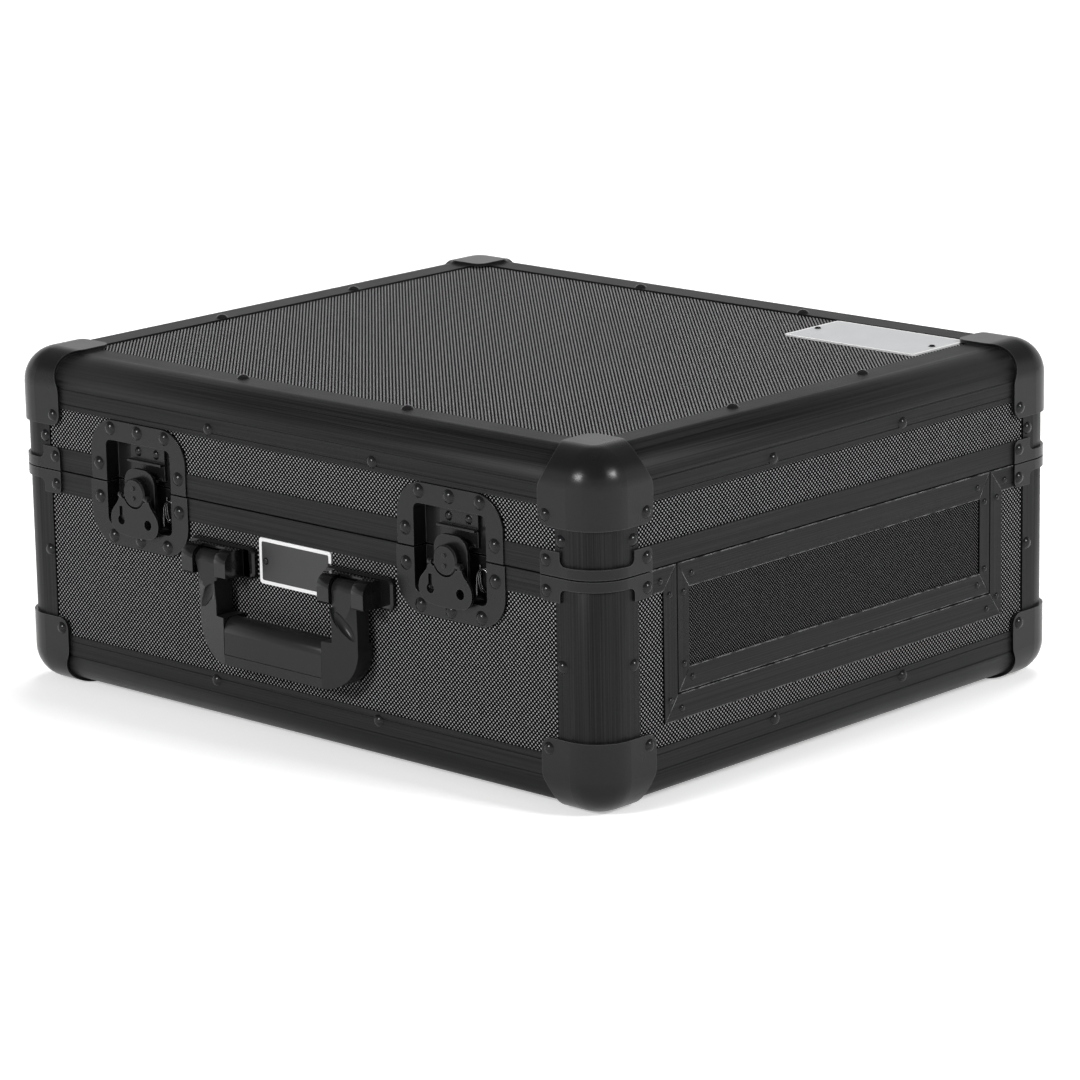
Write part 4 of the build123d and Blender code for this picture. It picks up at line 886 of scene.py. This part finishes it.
def lid_crate(sizes):
    """Egg-crate pad facing down: depth times the product of two cosines, faded out near the rim."""
    low, high = span("lid_foam")
    size = high - low
    a = np.linspace(0, size[0], CRATE_LINES[0])
    b = np.linspace(0, size[1], CRATE_LINES[1])
    turn = 2 * math.pi / sizes.crate_pitch

    def height(u, v):
        wave = 0.5 + 0.5 * np.cos(turn * (u - size[0] / 2)) * np.cos(turn * (v - size[1] / 2))
        rim = rim_distance(u, v, size)
        fade = np.clip((rim - CRATE_FADE_START) / CRATE_FADE_RUN, 0, 1)
        eased = fade * fade * (3 - 2 * fade)
        roll = CRATE_ROLL_DROP * (1 - np.clip(rim / CRATE_ROLL, 0, 1)) ** 2
        return size[2] - FOAM_CLEAR - roll - sizes.crate_depth * (1 - wave) * eased

    origin = (low[0], high[1], high[2])
    downwards = ((1, 0, 0), (0, -1, 0), (0, 0, -1))
    return pad("lid_egg_crate", origin, downwards, size, a, b, height, tuck=0.0008)


def cut_lines(length, pitch):
    """Sample lines over a length, close together at each cut and sparse between the cuts."""
    count = max(2, round(length / pitch))
    cell = length / count
    shares = np.array([0.0, 0.035, 0.10, 0.32, 0.68, 0.90, 0.965])
    lines = (np.arange(count)[:, None] + shares[None]).reshape(-1) * cell
    return np.append(lines, length), cell


def cut_distance(along, cell):
    """Distance from the nearest cut, where a cut is at each whole number of cells."""
    return np.abs(along / cell - np.round(along / cell)) * cell


def floor_foam(sizes):
    """Floor pad with a lattice of knife cuts: the height drops as a sharp V at each cut."""
    low, high = span("tray_floor_foam")
    size = high - low
    a, cell_a = cut_lines(size[0], sizes.cut_pitch)
    b, cell_b = cut_lines(size[1], sizes.cut_pitch)

    def height(u, v):
        gap = np.minimum(cut_distance(u, cell_a), cut_distance(v, cell_b))
        return size[2] - FOAM_CLEAR - sizes.cut_depth * np.exp(-(gap / CUT_WIDTH) ** CUT_SHARPNESS)

    return pad("floor_cut_foam", low, np.eye(3), size, a, b, height, tuck=0.0005)


def eased_lines(length, count):
    """Sample lines over a length, closer together at both ends."""
    ends = np.array([0.0, 0.0006, 0.0015, 0.003, 0.006])
    inset = 0.012
    return np.concatenate([ends, np.linspace(inset, length - inset, count), length - ends[::-1]])


def wall_pad(name, origin, axes, size):
    """Smooth pad, slightly crowned, and rolled over at the rim by a quarter circle."""

    def height(u, v):
        rim = rim_distance(u, v, size)
        roll = 1 - np.clip(rim / WALL_ROLL, 0, 1)
        crown = WALL_CROWN * np.clip(rim / WALL_CROWN_RUN, 0, 1)
        return WALL_THICK - WALL_CLEAR - WALL_ROLL_DROP * (1 - np.sqrt(1 - roll ** 2)) + crown

    a, b = [eased_lines(length, count) for length, count in zip(size, WALL_LINES)]
    return pad(name, origin, axes, size, a, b, height, tuck=0.0004)


def right_wall_top(points, low, high):
    """Top of the lower pad on the right wall, which ends under the access opening."""
    on_right = points[:, X] > high[X] - WALL_THICK - 0.0005
    between = (points[:, Z] > low[Z] + 0.005) & (points[:, Z] < high[Z] - 0.002)
    return float(points[on_right & between][:, Z].max())


def wall_foam():
    """Four pads on the walls: front and back over the whole width, left and right between them."""
    points = np.array([vertex.co for vertex in NODES["tray_wall_foam"].data.vertices])
    low, high = points.min(0), points.max(0)
    wide, deep, tall = high - low
    side = WALL_THICK + WALL_GAP
    full = (wide, tall)
    left = (deep - 2 * side, tall)
    right = (deep - 2 * side, right_wall_top(points, low, high) - low[Z])
    plans = (
        ("front", low[X], low[Y], (1, 0, 0), (0, 1, 0), full),
        ("back", high[X], high[Y], (-1, 0, 0), (0, -1, 0), full),
        ("left", low[X], high[Y] - side, (0, -1, 0), (1, 0, 0), left),
        ("right", high[X], low[Y] + side, (0, 1, 0), (-1, 0, 0), right),
    )
    return [
        wall_pad(f"wall_foam_{wall}", (x, y, low[Z]), (along, (0, 0, 1), inward), size)
        for wall, x, y, along, inward, size in plans
    ]


# Panel and running order


class CASE_PT_panel(bpy.types.Panel):
    """Lists the pieces of the case and their sizes and colours"""

    bl_idname = "CASE_PT_panel"
    bl_label = "Flight case"
    bl_space_type = "VIEW_3D"
    bl_region_type = "UI"
    bl_category = "Flight case"

    def draw(self, context):
        for operator in OPERATORS:
            self.layout.operator(operator.bl_idname)
        for group in (context.scene.case_sizes, context.scene.case_finishes):
            box = self.layout.box()
            for key in group.__annotations__:
                box.prop(group, key)


OPERATORS = (
    CASE_OT_stage, CASE_OT_boards, CASE_OT_extrusions, CASE_OT_corners, CASE_OT_rivets, CASE_OT_latches,
    CASE_OT_handle, CASE_OT_plates, CASE_OT_hinges, CASE_OT_foam,
)
CLASSES = (CaseFinishes, CaseSizes, *OPERATORS, CASE_PT_panel)


def register():
    for item in CLASSES:
        bpy.utils.register_class(item)
    bpy.types.Scene.case_finishes = bpy.props.PointerProperty(type=CaseFinishes)
    bpy.types.Scene.case_sizes = bpy.props.PointerProperty(type=CaseSizes)


def unregister():
    del bpy.types.Scene.case_sizes
    del bpy.types.Scene.case_finishes
    for item in reversed(CLASSES):
        bpy.utils.unregister_class(item)


def main():
    """Make the case: register the classes and the two groups of settings, then run every operator in order.
    """
    register()
    for operator in OPERATORS:
        getattr(bpy.ops.case, operator.bl_idname.split(".")[1])()


if __name__ == "__main__":
    main()
